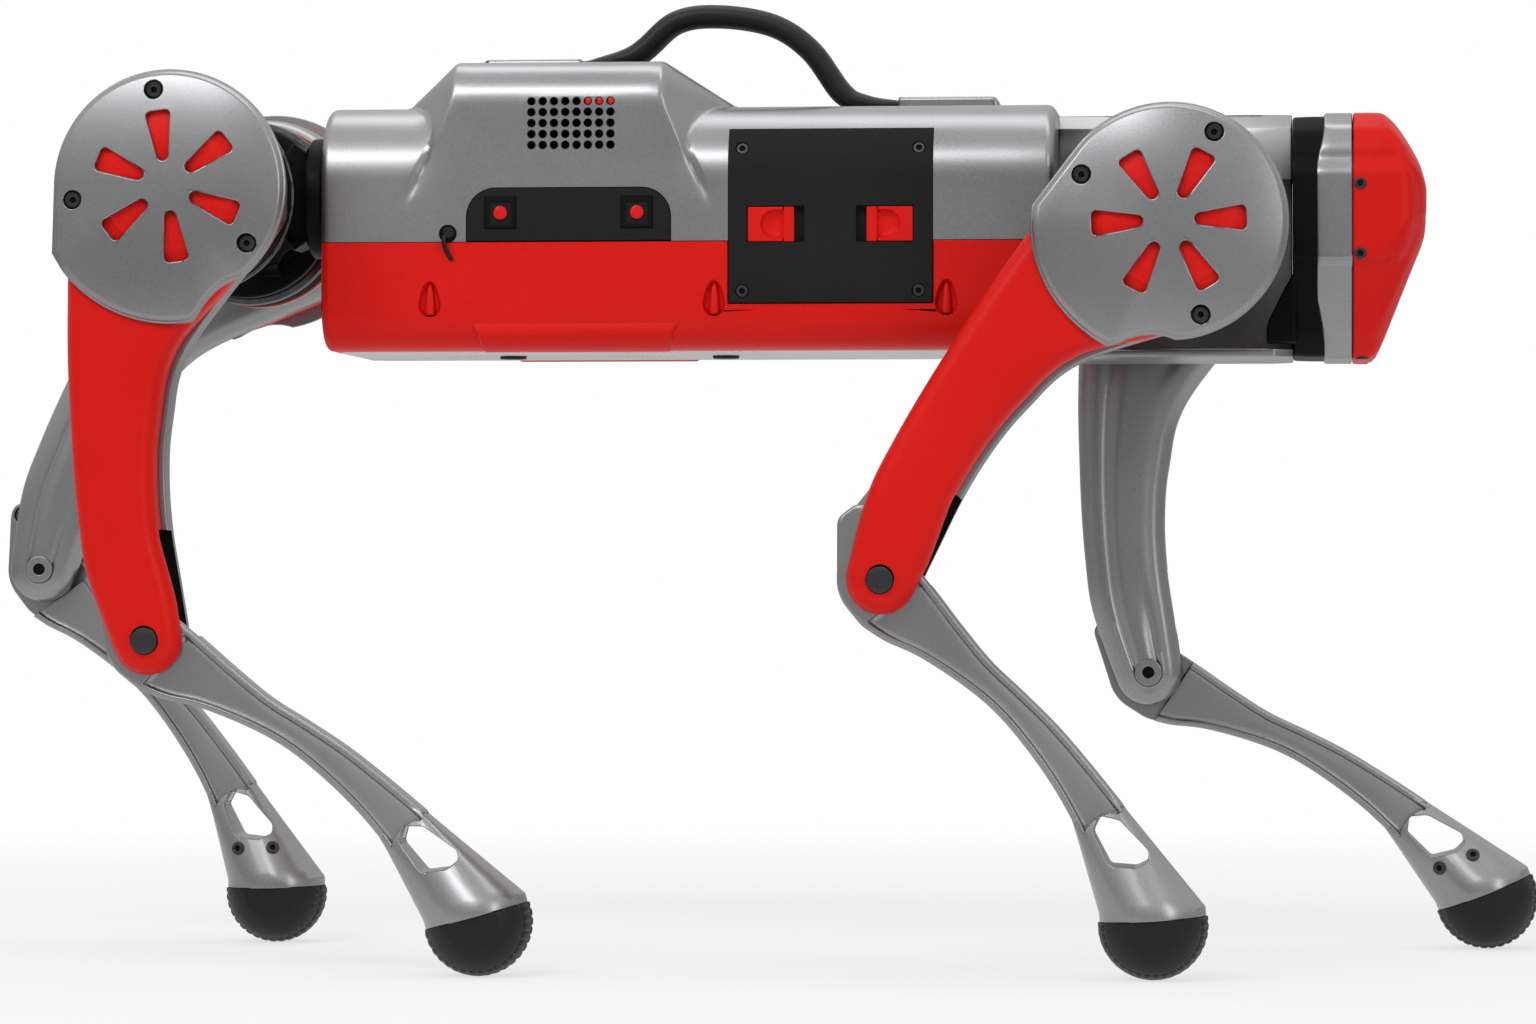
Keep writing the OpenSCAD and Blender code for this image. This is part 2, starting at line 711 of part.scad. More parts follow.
module battery_opening() {
    side_window(battery_back - slack, battery_len + 2 * slack, battery_low - slack, battery_high + slack,
                battery_depth);
}
battery_depth = 62;

// Band that follows the right side of the trunk's section, between two insets
module side_band(out, in) {
    intersection() {
        difference() {
            union() {
                polygon(upper_section(-out, battery_low));
                translate([-trunk_w / 2 - out, battery_low]) square([trunk_w, split_z - battery_low + 5]);
            }
            polygon(upper_section(in, battery_low - 20));
        }
        translate([-trunk_w / 2 - 20, battery_low]) square([50, battery_high - battery_low]);
    }
}

// Window for one latch with room for its travel
module latch_room(side, more, depth) {
    far = latch_place + latch_w / 2 + more;
    near = latch_place - latch_w / 2 - latch_travel - more;
    x = side < 0 ? battery_middle - far : battery_middle + near;
    translate([x, -trunk_w / 2 - proud - cut, latch_z - latch_h / 2 - more])
        cube([far - near, depth + cut, latch_h + 2 * more]);
}

// Battery cartridge: dark panel over the shell's side, and the pack behind it
module battery() {
    color("dimgray") difference() {
        union() {
            translate([battery_back, 0, 0]) rotate([90, 0, 90]) linear_extrude(battery_len)
                side_band(proud, wall);
            translate([battery_back + 3, -trunk_w / 2 + wall - 0.5, battery_low + 5])
                cube([battery_len - 6, battery_depth - wall - 6, battery_high - battery_low - 24]);
        }
        for (side = [-1, 1]) latch_room(side, slack, proud + latch_t + slack);
        for (side = [-1, 1], z = [battery_low + 6, battery_high - 10])
            translate([battery_middle + side * (battery_len / 2 - 7), -trunk_w / 2 - proud - cut, z])
            rotate([-90, 0, 0]) cylinder(r = 2.6, h = cut + 3);
    }
}

// Red latch: a plate with a finger recess, on the side away from the panel's middle
module latch(side) {
    color("red") translate([battery_middle + side * latch_place, -trunk_w / 2 - proud, latch_z])
        mirror([side < 0 ? 1 : 0, 0, 0]) difference() {
            translate([-latch_w / 2, 0, -latch_h / 2]) cube([latch_w, latch_t, latch_h]);
            translate([3, -7, -latch_h / 2 + 1.5]) cylinder(r = 10, h = latch_h - 3);
        }
}
module rear_latch() { latch(-1); }
module front_latch() { latch(1); }

panel_back = -128;
panel_len = 105;
panel_high = 398.8;
panel_corner = 15;
BUTTON_PLACES = [17.6, 87.7];
button_z = 386;

// Side view of the button panel, drawn in by d
module panel_view(d) {
    translate([panel_back, 0]) polygon(concat(
        [[d, split_z + slack + d], [panel_len - d, split_z + slack + d]],
        arc([panel_len - panel_corner, panel_high - panel_corner], panel_corner - d, 0, 90, 8),
        arc([panel_corner, panel_high - panel_corner], panel_corner - d, 90, 180, 8)
    ));
}
module panel_opening() {
    translate([0, -trunk_w / 2 + wall - 1.5, 0])
        rotate([90, 0, 0]) linear_extrude(20) panel_view(-slack / 2);
    for (x = BUTTON_PLACES) translate([panel_back + x, -trunk_w / 2, button_z])
        cube([button_w + 1, 4 * wall, button_w + 1], center = true);
}

// Dark panel with a square well for each button
module button_panel() {
    color("dimgray") difference() {
        translate([0, -trunk_w / 2 + wall - 1.5, 0]) rotate([90, 0, 0])
            linear_extrude(wall - 1.5 + proud / 2) panel_view(slack / 2);
        for (x = BUTTON_PLACES) translate([panel_back + x, -trunk_w / 2, button_z])
            cube([button_w + 2 * slack, 4 * wall, button_w + 2 * slack], center = true);
    }
}

// Square button with a dished round face
module button(i) {
    out = proud / 2 + button_travel;
    color("dimgray") translate([panel_back + BUTTON_PLACES[i], -trunk_w / 2 - out, button_z])
        difference() {
            translate([-button_w / 2, 0, -button_w / 2]) cube([button_w, out + wall, button_w]);
            rotate([90, 0, 0]) translate([0, 0, -0.8]) cylinder(r = 0.37 * button_w, h = 2);
        }
}
module rear_button() { button(0); }
module front_button() { button(1); }

// Screws in the channels
module trunk_screws() {
    color("black") for (side = [-1, 1], x = CHANNEL_PLACES)
        translate([x, side * (trunk_w / 2 - 2.5), channel_z]) rotate([-side * 90, 0, 0]) difference() {
            cylinder(r = channel_r - 1, h = 1.6);
            translate([0, 0, 0.8]) cylinder(r = 2, h = 2, $fn = 6);
        }
}

// ---- Chassis, neck and head --------------------------------------------------------

deck_w = 52;
deck_low = 404.7;
deck_high = 438.2;
neck_x = 292;
collar_x = neck_x + 12.6;
collar_t = 17.8;
plate_w = 110;
plate_t = 4;
bulkhead_t = 18;

// Opening in the upper shell's front end for the deck
module deck_opening() {
    translate([trunk_front - 30, -deck_w / 2 - slack, deck_low - slack])
        cube([60, deck_w + 2 * slack, deck_high - deck_low + 2 * slack]);
}

// Frame inside the trunk: two bulkheads with the roll bearings, spine, deck and belly plate
module chassis() {
    inside = trunk_w / 2 - wall - 11;
    color("silver") difference() {
        union() {
            translate([trunk_front - wall - 2 - bulkhead_t, -inside, front_hip_z - 28])
                cube([bulkhead_t, 2 * inside, 56]);
            translate([trunk_back + wall + 2, -inside, rear_hip_z - 28])
                cube([bulkhead_t, 2 * inside, 54]);
            translate([trunk_back + wall + 4, -10, front_hip_z - 24])
                cube([trunk_front - trunk_back - 2 * wall - 8, 20, 30]);
            translate([trunk_front - 24, -deck_w / 2, deck_low - 4]) cube([18, deck_w, 24]);
            deck();
            translate([trunk_front + slack, -8, trunk_belly - 3])
                cube([neck_x - trunk_front - slack, 16, 110]);
            belly_plate();
        }
        for (leg = LEGS) at_roll(leg) translate([-hip_gap(leg) - 60, -roll_y, 0])
            rotate([0, 90, 0]) cylinder(r = roll_shaft_r + run_fit, h = 62);
        for (x = DECK_HOLES.x, y = DECK_HOLES.y) translate([x, y, deck_high - 9])
            cylinder(r = deck_hole_r, h = 9 + cut);
    }
}

// Threaded holes in the deck, as a rectangle
DECK_HOLES = [[196, 276], [-16, 16]];
deck_hole_r = 2.1;

// Silver deck between the trunk and the neck, its sides sloped at the top
module deck() {
    slope = 7;
    translate([trunk_front - 24, 0, 0]) rotate([90, 0, 90])
        linear_extrude(neck_x - trunk_front + 24) polygon([
            [-deck_w / 2, deck_low], [deck_w / 2, deck_low], [deck_w / 2, deck_high - slope],
            [deck_w / 2 - slope, deck_high], [slope - deck_w / 2, deck_high], [-deck_w / 2, deck_high - slope]
        ]);
}

// Plate under the front bay
module belly_plate() {
    translate([trunk_front + slack, 0, trunk_belly - 3.5]) linear_extrude(plate_t) polygon([
        [0, -plate_w / 2], [neck_x - trunk_front - 9, -plate_w / 2], [neck_x - trunk_front, 12 - plate_w / 2],
        [neck_x - trunk_front, plate_w / 2 - 12], [neck_x - trunk_front - 9, plate_w / 2], [0, plate_w / 2]
    ]);
}

// Front view of the head, drawn in by d
ridge_z = 414.5;
cheek_z = 361.2;
function head_section(d) = let (h = head_w / 2 - d, up = head_top - d, low = head_low + d) [
    [h - 19, up], [h - 7, up - 8], [h, ridge_z + 3], [h, ridge_z - 4], [h - 2.5, ridge_z - 7],
    [h - 2.5, cheek_z], [h - 14, low + 12], [h - 24, low],
    [24 - h, low], [14 - h, low + 12], [2.5 - h, cheek_z], [2.5 - h, ridge_z - 7],
    [-h, ridge_z - 4], [-h, ridge_z + 3], [7 - h, up - 8], [19 - h, up]
];
module head_slice(x, length, d) {
    translate([x, 0, 0]) rotate([90, 0, 90]) linear_extrude(length) polygon(head_section(d));
}

// Black neck between the chassis and the head, its back drawn out at the foot
module neck_seal() {
    seal_len = collar_x - neck_x - 2 * slack;
    seal_inset = 2;
    foot_len = 13;
    side = head_w / 2 - seal_inset - 16;
    color("black") {
        head_slice(neck_x + slack, seal_len, seal_inset);
        for (s = [-1, 1]) translate([0, s * side, 0]) rotate([90, 0, 0]) linear_extrude(20, center = true)
            polygon([
                [neck_x + 1, head_low + 8], [neck_x + 1, head_low + 46], [neck_x - 5, head_low + 34],
                [neck_x - foot_len, head_low + 18], [neck_x - foot_len, head_low + 8]
            ]);
    }
}

// Silver collar at the back of the head
module head_collar() {
    edge = 3;
    color("silver") {
        hull() {
            head_slice(collar_x, 0.1, edge);
            head_slice(collar_x + edge, 0.1, 0);
        }
        head_slice(collar_x + edge, collar_t - edge, 0);
    }
}

// Red shell of the head: side, front and top views cut from one another
module head_shell() {
    back = collar_x + collar_t + slack;
    lens_r = 7;
    color("red") difference() {
        intersection() {
            head_slice(back, nose_x - back, 0.8);
            rotate([90, 0, 0]) linear_extrude(head_w + 2, center = true) polygon(concat(
                [[back - 1, head_top + 1], [nose_x - 22, head_top + 1], [nose_x - 6, head_top - 17],
                 [nose_x, head_top - 32], [nose_x, head_top - 57]],
                arc([nose_x - 26, head_low + 10], 10, -10, -90, 4),
                [[back - 1, head_low - 1]]
            ));
            translate([0, 0, head_low - 1]) linear_extrude(head_top - head_low + 2) polygon([
                [back - 1, -head_w / 2 - 1], [nose_x - 16, 2 - head_w / 2], [nose_x, 17 - head_w / 2],
                [nose_x, head_w / 2 - 17], [nose_x - 16, head_w / 2 - 2], [back - 1, head_w / 2 + 1]
            ]);
        }
        for (side = [-1, 1]) translate([nose_x - 4, side * 26, head_top - 44])
            rotate([0, 90, 0]) cylinder(r = lens_r, h = 4 + cut);
    }
}

// Lights beside the speaker, and the lenses of the head's two cameras
module status_lights() {
    color("red") {
        for (i = [5:7]) light(i);
        for (side = [-1, 1]) translate([nose_x - 4, side * 26, head_top - 44])
            rotate([0, 90, 0]) cylinder(r = 7, h = 3);
    }
}

// Speaker holes in rows on the hump's right side, the last of the top row lit
GRILLE = [8, 5];
grille_back = hump_back + 45;
grille_low = 420.5;
grille_pitch = 5.8;
grille_rise = 5.6;
hole_r = 1.7;
module light(i) {
    at_grille(i, GRILLE[1] - 1) translate([0, 0, -wall]) cylinder(r = hole_r, h = wall - 0.3);
}
module at_grille(i, j) {
    translate([grille_back + i * grille_pitch, -trunk_w / 2, grille_low + j * grille_rise])
        rotate([90, 0, 0]) children();
}

// ---- Handle ------------------------------------------------------------------------

grip_back = hump_back + 62.5;
grip_front = trunk_front - 84;
block_len = 52;
block_w = 30;
// Height of the two blocks on the hump and on the trunk, and their rounded end
BLOCK_HEIGHTS = [5.8, 7.4];
block_r = 3;

// Middle line of the grip: up from the hump, over its top and down to the trunk
function grip_line() = let (span = grip_front - grip_back, top = handle_top - grip_t / 2,
    rear = hump_top + BLOCK_HEIGHTS[0] / 2, front = trunk_top + BLOCK_HEIGHTS[1] / 2)
    open_curve([
        [grip_back, rear], [grip_back + 0.045 * span, rear + 1], [grip_back + 0.17 * span, rear + 6.5],
        [grip_back + 0.29 * span, top - 3], [grip_back + 0.43 * span, top], [grip_back + 0.6 * span, top - 5],
        [grip_back + 0.72 * span, top - 18.5], [grip_back + 0.82 * span, front + 6.5],
        [grip_back + 0.9 * span, front + 1], [grip_front, front]
    ], 4);

// Half thickness of the grip, thinner where it lies down
function grip_half(x) = let (t = min(x - grip_back, grip_front - x) / 30)
    (t < 1 ? 0.22 + 0.28 * t : 0.5) * grip_t;

// The line moved sideways by its half thickness
function beside(line, side) = [for (i = [0:len(line) - 1])
    let (way = line[min(i + 1, len(line) - 1)] - line[max(i - 1, 0)])
        line[i] + side * grip_half(line[i].x) * [-way.y, way.x] / norm(way)];

// Black grip, thinner towards its ends
module handle_grip() {
    color("black") rotate([90, 0, 0]) linear_extrude(grip_w, center = true)
        polygon(concat(beside(grip_line(), 1), backwards(beside(grip_line(), -1))));
}

// Silver blocks that hold the grip's ends
module handle_block(high) {
    rotate([90, 0, 0]) linear_extrude(block_w, center = true) polygon(concat(
        [[slack, 0], [block_len, 0]],
        arc([block_len - block_r, high - block_r], block_r, 0, 90, 4),
        [[slack, high]]
    ));
}
module handle_blocks() {
    color("silver") {
        translate([grip_back, 0, hump_top]) mirror([1, 0, 0]) handle_block(BLOCK_HEIGHTS[0]);
        translate([grip_front, 0, trunk_top]) handle_block(BLOCK_HEIGHTS[1]);
    }
}

// ---- What is drawn -----------------------------------------------------------------

upper_shell();
lower_shell();
chassis();
neck_seal();
head_collar();
head_shell();
battery();
rear_latch();
front_latch();
button_panel();
rear_button();
front_button();
handle_grip();
handle_blocks();
status_lights();
trunk_screws();
for (leg = LEGS) hip_carrier(leg);
for (leg = LEGS) hip_motor(leg);
for (leg = LEGS) thigh_inner_shell(leg);
for (leg = LEGS) thigh_outer_shell(leg);
for (leg = LEGS) hip_cover(leg);
for (leg = LEGS) knee_motor(leg);
for (leg = LEGS) knee_crank(leg);
for (leg = LEGS) push_rod(leg);
for (leg = LEGS) knee_pin(leg);
for (leg = LEGS) shin(leg);
for (leg = LEGS) foot(leg);
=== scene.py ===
import json
from math import asin, atan2, copysign, cos, degrees, exp, pi, radians, sin, sqrt, tan

import bmesh
import bpy
from mathutils import Matrix, Vector
from mathutils.bvhtree import BVHTree


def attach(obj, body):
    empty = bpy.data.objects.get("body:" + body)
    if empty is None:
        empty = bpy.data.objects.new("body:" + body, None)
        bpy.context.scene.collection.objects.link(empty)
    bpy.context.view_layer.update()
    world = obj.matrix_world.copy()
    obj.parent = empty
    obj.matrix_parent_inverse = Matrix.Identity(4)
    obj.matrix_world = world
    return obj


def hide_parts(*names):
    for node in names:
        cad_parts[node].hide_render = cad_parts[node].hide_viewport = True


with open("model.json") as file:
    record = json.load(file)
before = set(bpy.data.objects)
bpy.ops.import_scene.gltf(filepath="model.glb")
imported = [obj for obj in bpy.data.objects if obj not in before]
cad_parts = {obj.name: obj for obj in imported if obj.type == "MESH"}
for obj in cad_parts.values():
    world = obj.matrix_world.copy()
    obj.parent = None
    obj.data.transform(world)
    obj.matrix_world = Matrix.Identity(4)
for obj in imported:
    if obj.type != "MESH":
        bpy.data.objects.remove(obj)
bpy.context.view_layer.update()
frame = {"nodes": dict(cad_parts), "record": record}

MM = 0.001
LEGS = ("right_front", "right_rear", "left_front", "left_rear")


# ---- Camera, floor and lights ----


def make_camera():
    """A long lens at the height of the knees, a little to the head's side."""
    target, distance, drop = Vector((0.019, 0.0, 0.234)), 3.144, 0.031
    azimuth, tilt = radians(5.2), radians(90.565)
    camera = placed("camera", bpy.data.cameras.new("camera"))
    camera.data.lens = 141.1
    camera.data.sensor_width = 36
    camera.data.clip_end = 50
    away = Vector((distance * sin(azimuth), -distance * cos(azimuth), -drop))
    camera.location = target + away
    camera.rotation_euler = (tilt, 0, azimuth)
    bpy.context.scene.camera = camera


def placed(name, data):
    """A new object in the scene that shows the data."""
    shown = bpy.data.objects.new(name, data)
    bpy.context.collection.objects.link(shown)
    return shown


def make_lamp(name, place, size, power):
    """A soft rectangular lamp that looks at the trunk."""
    trunk = Vector((0, 0, 0.3))
    data = bpy.data.lights.new(name, "AREA")
    data.shape = "RECTANGLE"
    data.size, data.size_y = size
    data.energy = power
    lamp = placed(name, data)
    lamp.location = place
    lamp.rotation_euler = (trunk - Vector(place)).to_track_quat("-Z", "Y").to_euler()


# ---- Shader helpers ----


def node(tree, kind, inputs=None, **settings):
    """A node with its settings, its input values and the sockets that feed it."""
    made = tree.nodes.new(kind)
    for key, value in settings.items():
        setattr(made, key, value)
    for key, value in (inputs or {}).items():
        if isinstance(value, bpy.types.NodeSocket):
            tree.links.new(value, made.inputs[key])
        else:
            made.inputs[key].default_value = value
    return made


def mapped(tree, value, low, high, start=0.0, end=1.0):
    """A value's range from start to end, spread between low and high."""
    made = node(tree, "ShaderNodeMapRange",
                {"Value": value, "From Min": start, "From Max": end, "To Min": low, "To Max": high})
    return made.outputs["Result"]


def reckoned(tree, operation, first, second):
    """The outcome of an operation on two values."""
    return node(tree, "ShaderNodeMath", {0: first, 1: second}, operation=operation).outputs[0]


def empty_material(name):
    """A new material and its node tree, cleared."""
    material = bpy.data.materials.new(name)
    material.use_nodes = True
    material.node_tree.nodes.clear()
    return material, material.node_tree


def grain_and_painted_shade():
    """Fine grain, slow clouds over the surface, and a mask of painted shade in the crevices, from ambient
    occlusion.
    """
    tree = bpy.data.node_groups.new("grain_and_painted_shade", "ShaderNodeTree")
    cloud_scale, crevice_reach, closed, opened = 9.0, 0.006, 0.1, 0.6
    face = tree.interface
    face.new_socket("Fineness", in_out="INPUT", socket_type="NodeSocketFloat")
    for name in ("Grain", "Clouds", "Painted Crevice Shade"):
        face.new_socket(name, in_out="OUTPUT", socket_type="NodeSocketFloat")
    given = node(tree, "NodeGroupInput")
    where = node(tree, "ShaderNodeTexCoord").outputs["Object"]
    inputs = {"Vector": where, "Scale": given.outputs["Fineness"], "Detail": 3.0, "Roughness": 0.6}
    grain = node(tree, "ShaderNodeTexNoise", inputs)
    clouds = node(tree, "ShaderNodeTexNoise", {"Vector": where, "Scale": cloud_scale, "Detail": 2.0})
    inputs = {"Distance": crevice_reach}
    open_share = node(tree, "ShaderNodeAmbientOcclusion", inputs, samples=8).outputs["AO"]
    out = node(tree, "NodeGroupOutput")
    tree.links.new(grain.outputs[0], out.inputs["Grain"])
    tree.links.new(clouds.outputs[0], out.inputs["Clouds"])
    # Painted shade mask: 1 where ambient occlusion finds the surface closed in, 0 where it is open.
    tree.links.new(mapped(tree, open_share, 1.0, 0.0, closed, opened), out.inputs["Painted Crevice Shade"])
    return tree


GRAIN_AND_SHADE = grain_and_painted_shade()


def finish_material(name, dark, light, roughness, fineness, bump=0.05, depth=0.0002, painted_shade=None,
                    metallic=0.0, specular=0.5):
    """A finish whose colour, roughness and relief vary with the grain and the clouds.

    dark and light are the colours at the grain's ends and roughness is its range.
    The colour given for the crevices is painted shade, taken where ambient occlusion finds them closed in.
    """
    all_dark, all_light, painted_shade_share = 0.7, 1.3, 0.5
    material, tree = empty_material(name)
    shader = node(tree, "ShaderNodeBsdfPrincipled")
    node(tree, "ShaderNodeOutputMaterial", {"Surface": shader.outputs[0]})
    grain = node(tree, "ShaderNodeGroup", {"Fineness": fineness}, node_tree=GRAIN_AND_SHADE).outputs
    blend = reckoned(tree, "ADD", grain["Grain"], grain["Clouds"])
    share = mapped(tree, blend, 0.0, 1.0, all_dark, all_light)
    colour = node(tree, "ShaderNodeMix", {0: share, 6: (*dark, 1), 7: (*light, 1)}, data_type="RGBA")
    # Painted shade: the crevices darken towards this colour, which is half the dark colour unless another is
    # given.
    painted_shade = painted_shade or [painted_shade_share * part for part in dark]
    inputs = {0: grain["Painted Crevice Shade"], 6: colour.outputs[2], 7: (*painted_shade, 1)}
    shaded = node(tree, "ShaderNodeMix", inputs, data_type="RGBA")
    inputs = {"Strength": bump, "Distance": depth, "Height": grain["Grain"]}
    relief = node(tree, "ShaderNodeBump", inputs)
    tree.links.new(shaded.outputs[2], shader.inputs["Base Color"])
    tree.links.new(mapped(tree, share, *roughness), shader.inputs["Roughness"])
    tree.links.new(relief.outputs[0], shader.inputs["Normal"])
    shader.inputs["Metallic"].default_value = metallic
    shader.inputs["Specular IOR Level"].default_value = specular
    return material


def make_floor():
    """White studio floor that keeps the shadows and fades into a white world."""
    size, fade_start, fade_end, own_light = 8, 0.55, 1.6, 0.68
    bpy.ops.mesh.primitive_grid_add(x_subdivisions=8, y_subdivisions=8, size=size)
    floor = bpy.context.object
    floor.name = "studio_floor"
    material, tree = empty_material("floor_paper")
    where = node(tree, "ShaderNodeTexCoord").outputs["Object"]
    reach = node(tree, "ShaderNodeVectorMath", {0: where}, operation="LENGTH")
    fade = mapped(tree, reach.outputs["Value"], 0.0, 1.0, fade_start, fade_end)
    paper = node(tree, "ShaderNodeBsdfDiffuse", {"Color": (0.96, 0.96, 0.96, 1)})
    clear = node(tree, "ShaderNodeBsdfTransparent")
    lit = node(tree, "ShaderNodeEmission", {"Color": (1, 1, 1, 1), "Strength": 1.0})
    path = node(tree, "ShaderNodeLightPath").outputs
    seen = reckoned(tree, "MAXIMUM", path["Is Camera Ray"], path["Is Glossy Ray"])
    share = reckoned(tree, "MULTIPLY", seen, own_light)
    white = node(tree, "ShaderNodeMixShader", {0: share, 1: paper.outputs[0], 2: lit.outputs[0]})
    both = node(tree, "ShaderNodeMixShader", {0: fade, 1: white.outputs[0], 2: clear.outputs[0]})
    node(tree, "ShaderNodeOutputMaterial", {"Surface": both.outputs[0]})
    floor.data.materials.append(material)


def make_world():
    """White where it is seen, darker near the horizon in mirrors, a soft light elsewhere."""
    world = bpy.data.worlds.new("studio")
    bpy.context.scene.world = world
    world.use_nodes = True
    tree = world.node_tree
    tree.nodes.clear()
    path = node(tree, "ShaderNodeLightPath").outputs
    seen = reckoned(tree, "MAXIMUM", path["Is Camera Ray"], path["Is Transmission Ray"])
    way = node(tree, "ShaderNodeTexCoord").outputs["Generated"]
    height = node(tree, "ShaderNodeSeparateXYZ", {0: way}).outputs["Z"]
    soft, bright_from = 0.42, 0.65
    mirrored = mapped(tree, height, soft, 1.0, 0.0, bright_from)
    overhead = reckoned(tree, "MULTIPLY", path["Is Glossy Ray"], mirrored)
    level = reckoned(tree, "MAXIMUM", reckoned(tree, "MAXIMUM", seen, overhead), soft)
    light = node(tree, "ShaderNodeBackground", {"Color": (1, 1, 1, 1), "Strength": level})
    node(tree, "ShaderNodeOutputWorld", {"Surface": light.outputs[0]})


# ---- Finishes ----

SILVER = finish_material("satin_silver", (0.25, 0.251, 0.256), (0.33, 0.331, 0.337), (0.27, 0.35), 1300,
                         bump=0.03, depth=0.0001, metallic=0.85)
RED = finish_material("red_lacquer", (0.70, 0.007, 0.004), (0.80, 0.011, 0.007), (0.34, 0.44), 1100,
                      bump=0.03, depth=0.0001, specular=0.16)
RED_MOTOR = finish_material("red_anodised", (0.70, 0.008, 0.005), (0.82, 0.014, 0.010), (0.42, 0.52), 600,
                            specular=0.12)
DARK_PANEL = finish_material("dark_moulding", (0.014, 0.014, 0.015), (0.022, 0.022, 0.023), (0.50, 0.62),
                             1500, bump=0.15, depth=0.0001, specular=0.05)
BLACK_METAL = finish_material("black_anodised", (0.003, 0.003, 0.0035), (0.007, 0.007, 0.008),
                              (0.36, 0.48), 700, specular=0.06)
RUBBER = finish_material("black_rubber", (0.003, 0.003, 0.003), (0.006, 0.006, 0.006), (0.42, 0.54), 900,
                         bump=0.2, specular=0.3)
# Its crevices take a nearly black painted shade.
BLACK_SCREW = finish_material("blackened_screw", (0.016, 0.016, 0.017), (0.03, 0.03, 0.031), (0.26, 0.36),
                              900, depth=0.0001, painted_shade=(0.004, 0.004, 0.004), specular=0.45)
DARK_STEEL = finish_material("dark_steel", (0.05, 0.05, 0.055), (0.10, 0.10, 0.105), (0.30, 0.42), 400,
                             metallic=1.0)
# Much paler than the silver, for the trunk's underside: painted reflection of the white floor.
PALE_REFLECTION_PLATE = finish_material("painted_floor_reflection_plate", (0.62, 0.62, 0.62), (0.74, 0.74, 0.74), (0.25, 0.35), 900,
                             metallic=0.5)
RED_LENS = finish_material("red_lens", (0.70, 0.006, 0.004), (0.82, 0.010, 0.006), (0.18, 0.26), 500,
                           specular=0.3)
# Near black on the walls that cutters leave in holes, sockets, vents and rooms: painted shade in these
# hollows. The buttons' rims take it as their own black.
BLACK_AND_HOLLOW_SHADE = finish_material("black_and_painted_hollow_shade", (0.006, 0.006, 0.006), (0.010, 0.010, 0.010), (0.7, 0.8), 500,
                              specular=0.05)


# ---- Shaping ----


def arc(centre, radius, start, end, steps):
    """Points on an arc, its two directions in degrees."""
    turns = [radians(start + (end - start) * i / steps) for i in range(steps + 1)]
    return [Vector((centre[0] + radius * cos(a), centre[1] + radius * sin(a))) for a in turns]


def polar(radius, turn):
    """The point at a distance in a direction, given in degrees."""
    return Vector((radius * cos(radians(turn)), radius * sin(radians(turn))))


def rectangle(x0, x1, y0, y1):
    """The corners of an upright rectangle."""
    return [Vector((x0, y0)), Vector((x1, y0)), Vector((x1, y1)), Vector((x0, y1))]


def clamped(value):
    """The value, kept between 0 and 1."""
    return min(max(value, 0), 1)


def between(start, end, count):
    """Values that part the way from start to end in equal steps, without the ends."""
    return [start + (end - start) * k / count for k in range(1, count)]


def bend(start, pull, end, shares):
    """A bend from start to end that leans towards a third point."""
    return [start.lerp(pull, t).lerp(pull.lerp(end, t), t) for t in shares]


def smooth(points, steps, closed=False):
    """A smooth curve through the points."""
    points = [Vector(point) for point in points]
    count, last = len(points), len(points) - 1
    made = []
    for i in range(count if closed else last):
        if closed:
            a, b, c, d = (points[(i + k) % count] for k in (-1, 0, 1, 2))
        else:
            a, b, c, d = points[max(i - 1, 0)], points[i], points[i + 1], points[min(i + 2, last)]
        for k in range(steps):
            t = k / steps
            made.append(0.5 * (2 * b + (c - a) * t + (2 * a - 5 * b + 4 * c - d) * t * t
                               + (3 * b - a - 3 * c + d) * t ** 3))
    return made if closed else made + [points[-1]]


def even(outline, spacing, passes=3):
    """A closed outline with its points at even distances, its kinks relaxed."""
    reach = [0.0]
    for i in range(len(outline)):
        reach.append(reach[-1] + (outline[(i + 1) % len(outline)] - outline[i]).length)
    count = round(reach[-1] / spacing)
    points, k = [], 0
    for i in range(count):
        at = reach[-1] * i / count
        while reach[k + 1] < at:
            k += 1
        share = (at - reach[k]) / (reach[k + 1] - reach[k])
        points.append(outline[k].lerp(outline[(k + 1) % len(outline)], share))
    for _ in range(passes):
        points = [(points[i - 1] + 2 * point + points[(i + 1) % count]) / 4 for i, point in enumerate(points)]
    return points


def inset(outline, amount):
    """A counter-clockwise outline moved in by an amount, or out by a negative one."""
    made = []
    for i, point in enumerate(outline):
        before = (point - outline[i - 1]).normalized()
        after = (outline[(i + 1) % len(outline)] - point).normalized()
        way = Vector((-before.y - after.y, before.x + after.x)).normalized()
        lean = max(way.dot(Vector((-after.y, after.x))), 0.5)
        made.append(point + way * amount / lean)
    return made


def rounded(high, edge, steps, drop=1.0):
    """Inset and height of each ring round an edge, from the side up to the face."""
    turns = [radians(90 * k / steps) for k in range(steps + 1)]
    return [(edge * (1 - cos(a)), high - edge * drop * (1 - sin(a))) for a in turns]


def linked(name, form, finishes):
    """A new object in the scene from a bmesh form."""
    mesh = bpy.data.meshes.new(name)
    form.to_mesh(mesh)
    form.free()
    for finish in finishes:
        mesh.materials.append(finish)
    return placed(name, mesh)


def solid(name, rings, finish):
    """A closed solid through rings of equal length, its faces turned outwards."""
    form = bmesh.new()
    rows = [[form.verts.new(point) for point in ring] for ring in rings]
    for low, high in zip(rows, rows[1:]):
        for i in range(len(low)):
            j = (i + 1) % len(low)
            form.faces.new((low[i], low[j], high[j], high[i]))
    form.faces.new(rows[0])
    form.faces.new(rows[-1])
    bmesh.ops.recalc_face_normals(form, faces=form.faces)
    return linked(name, form, [finish])


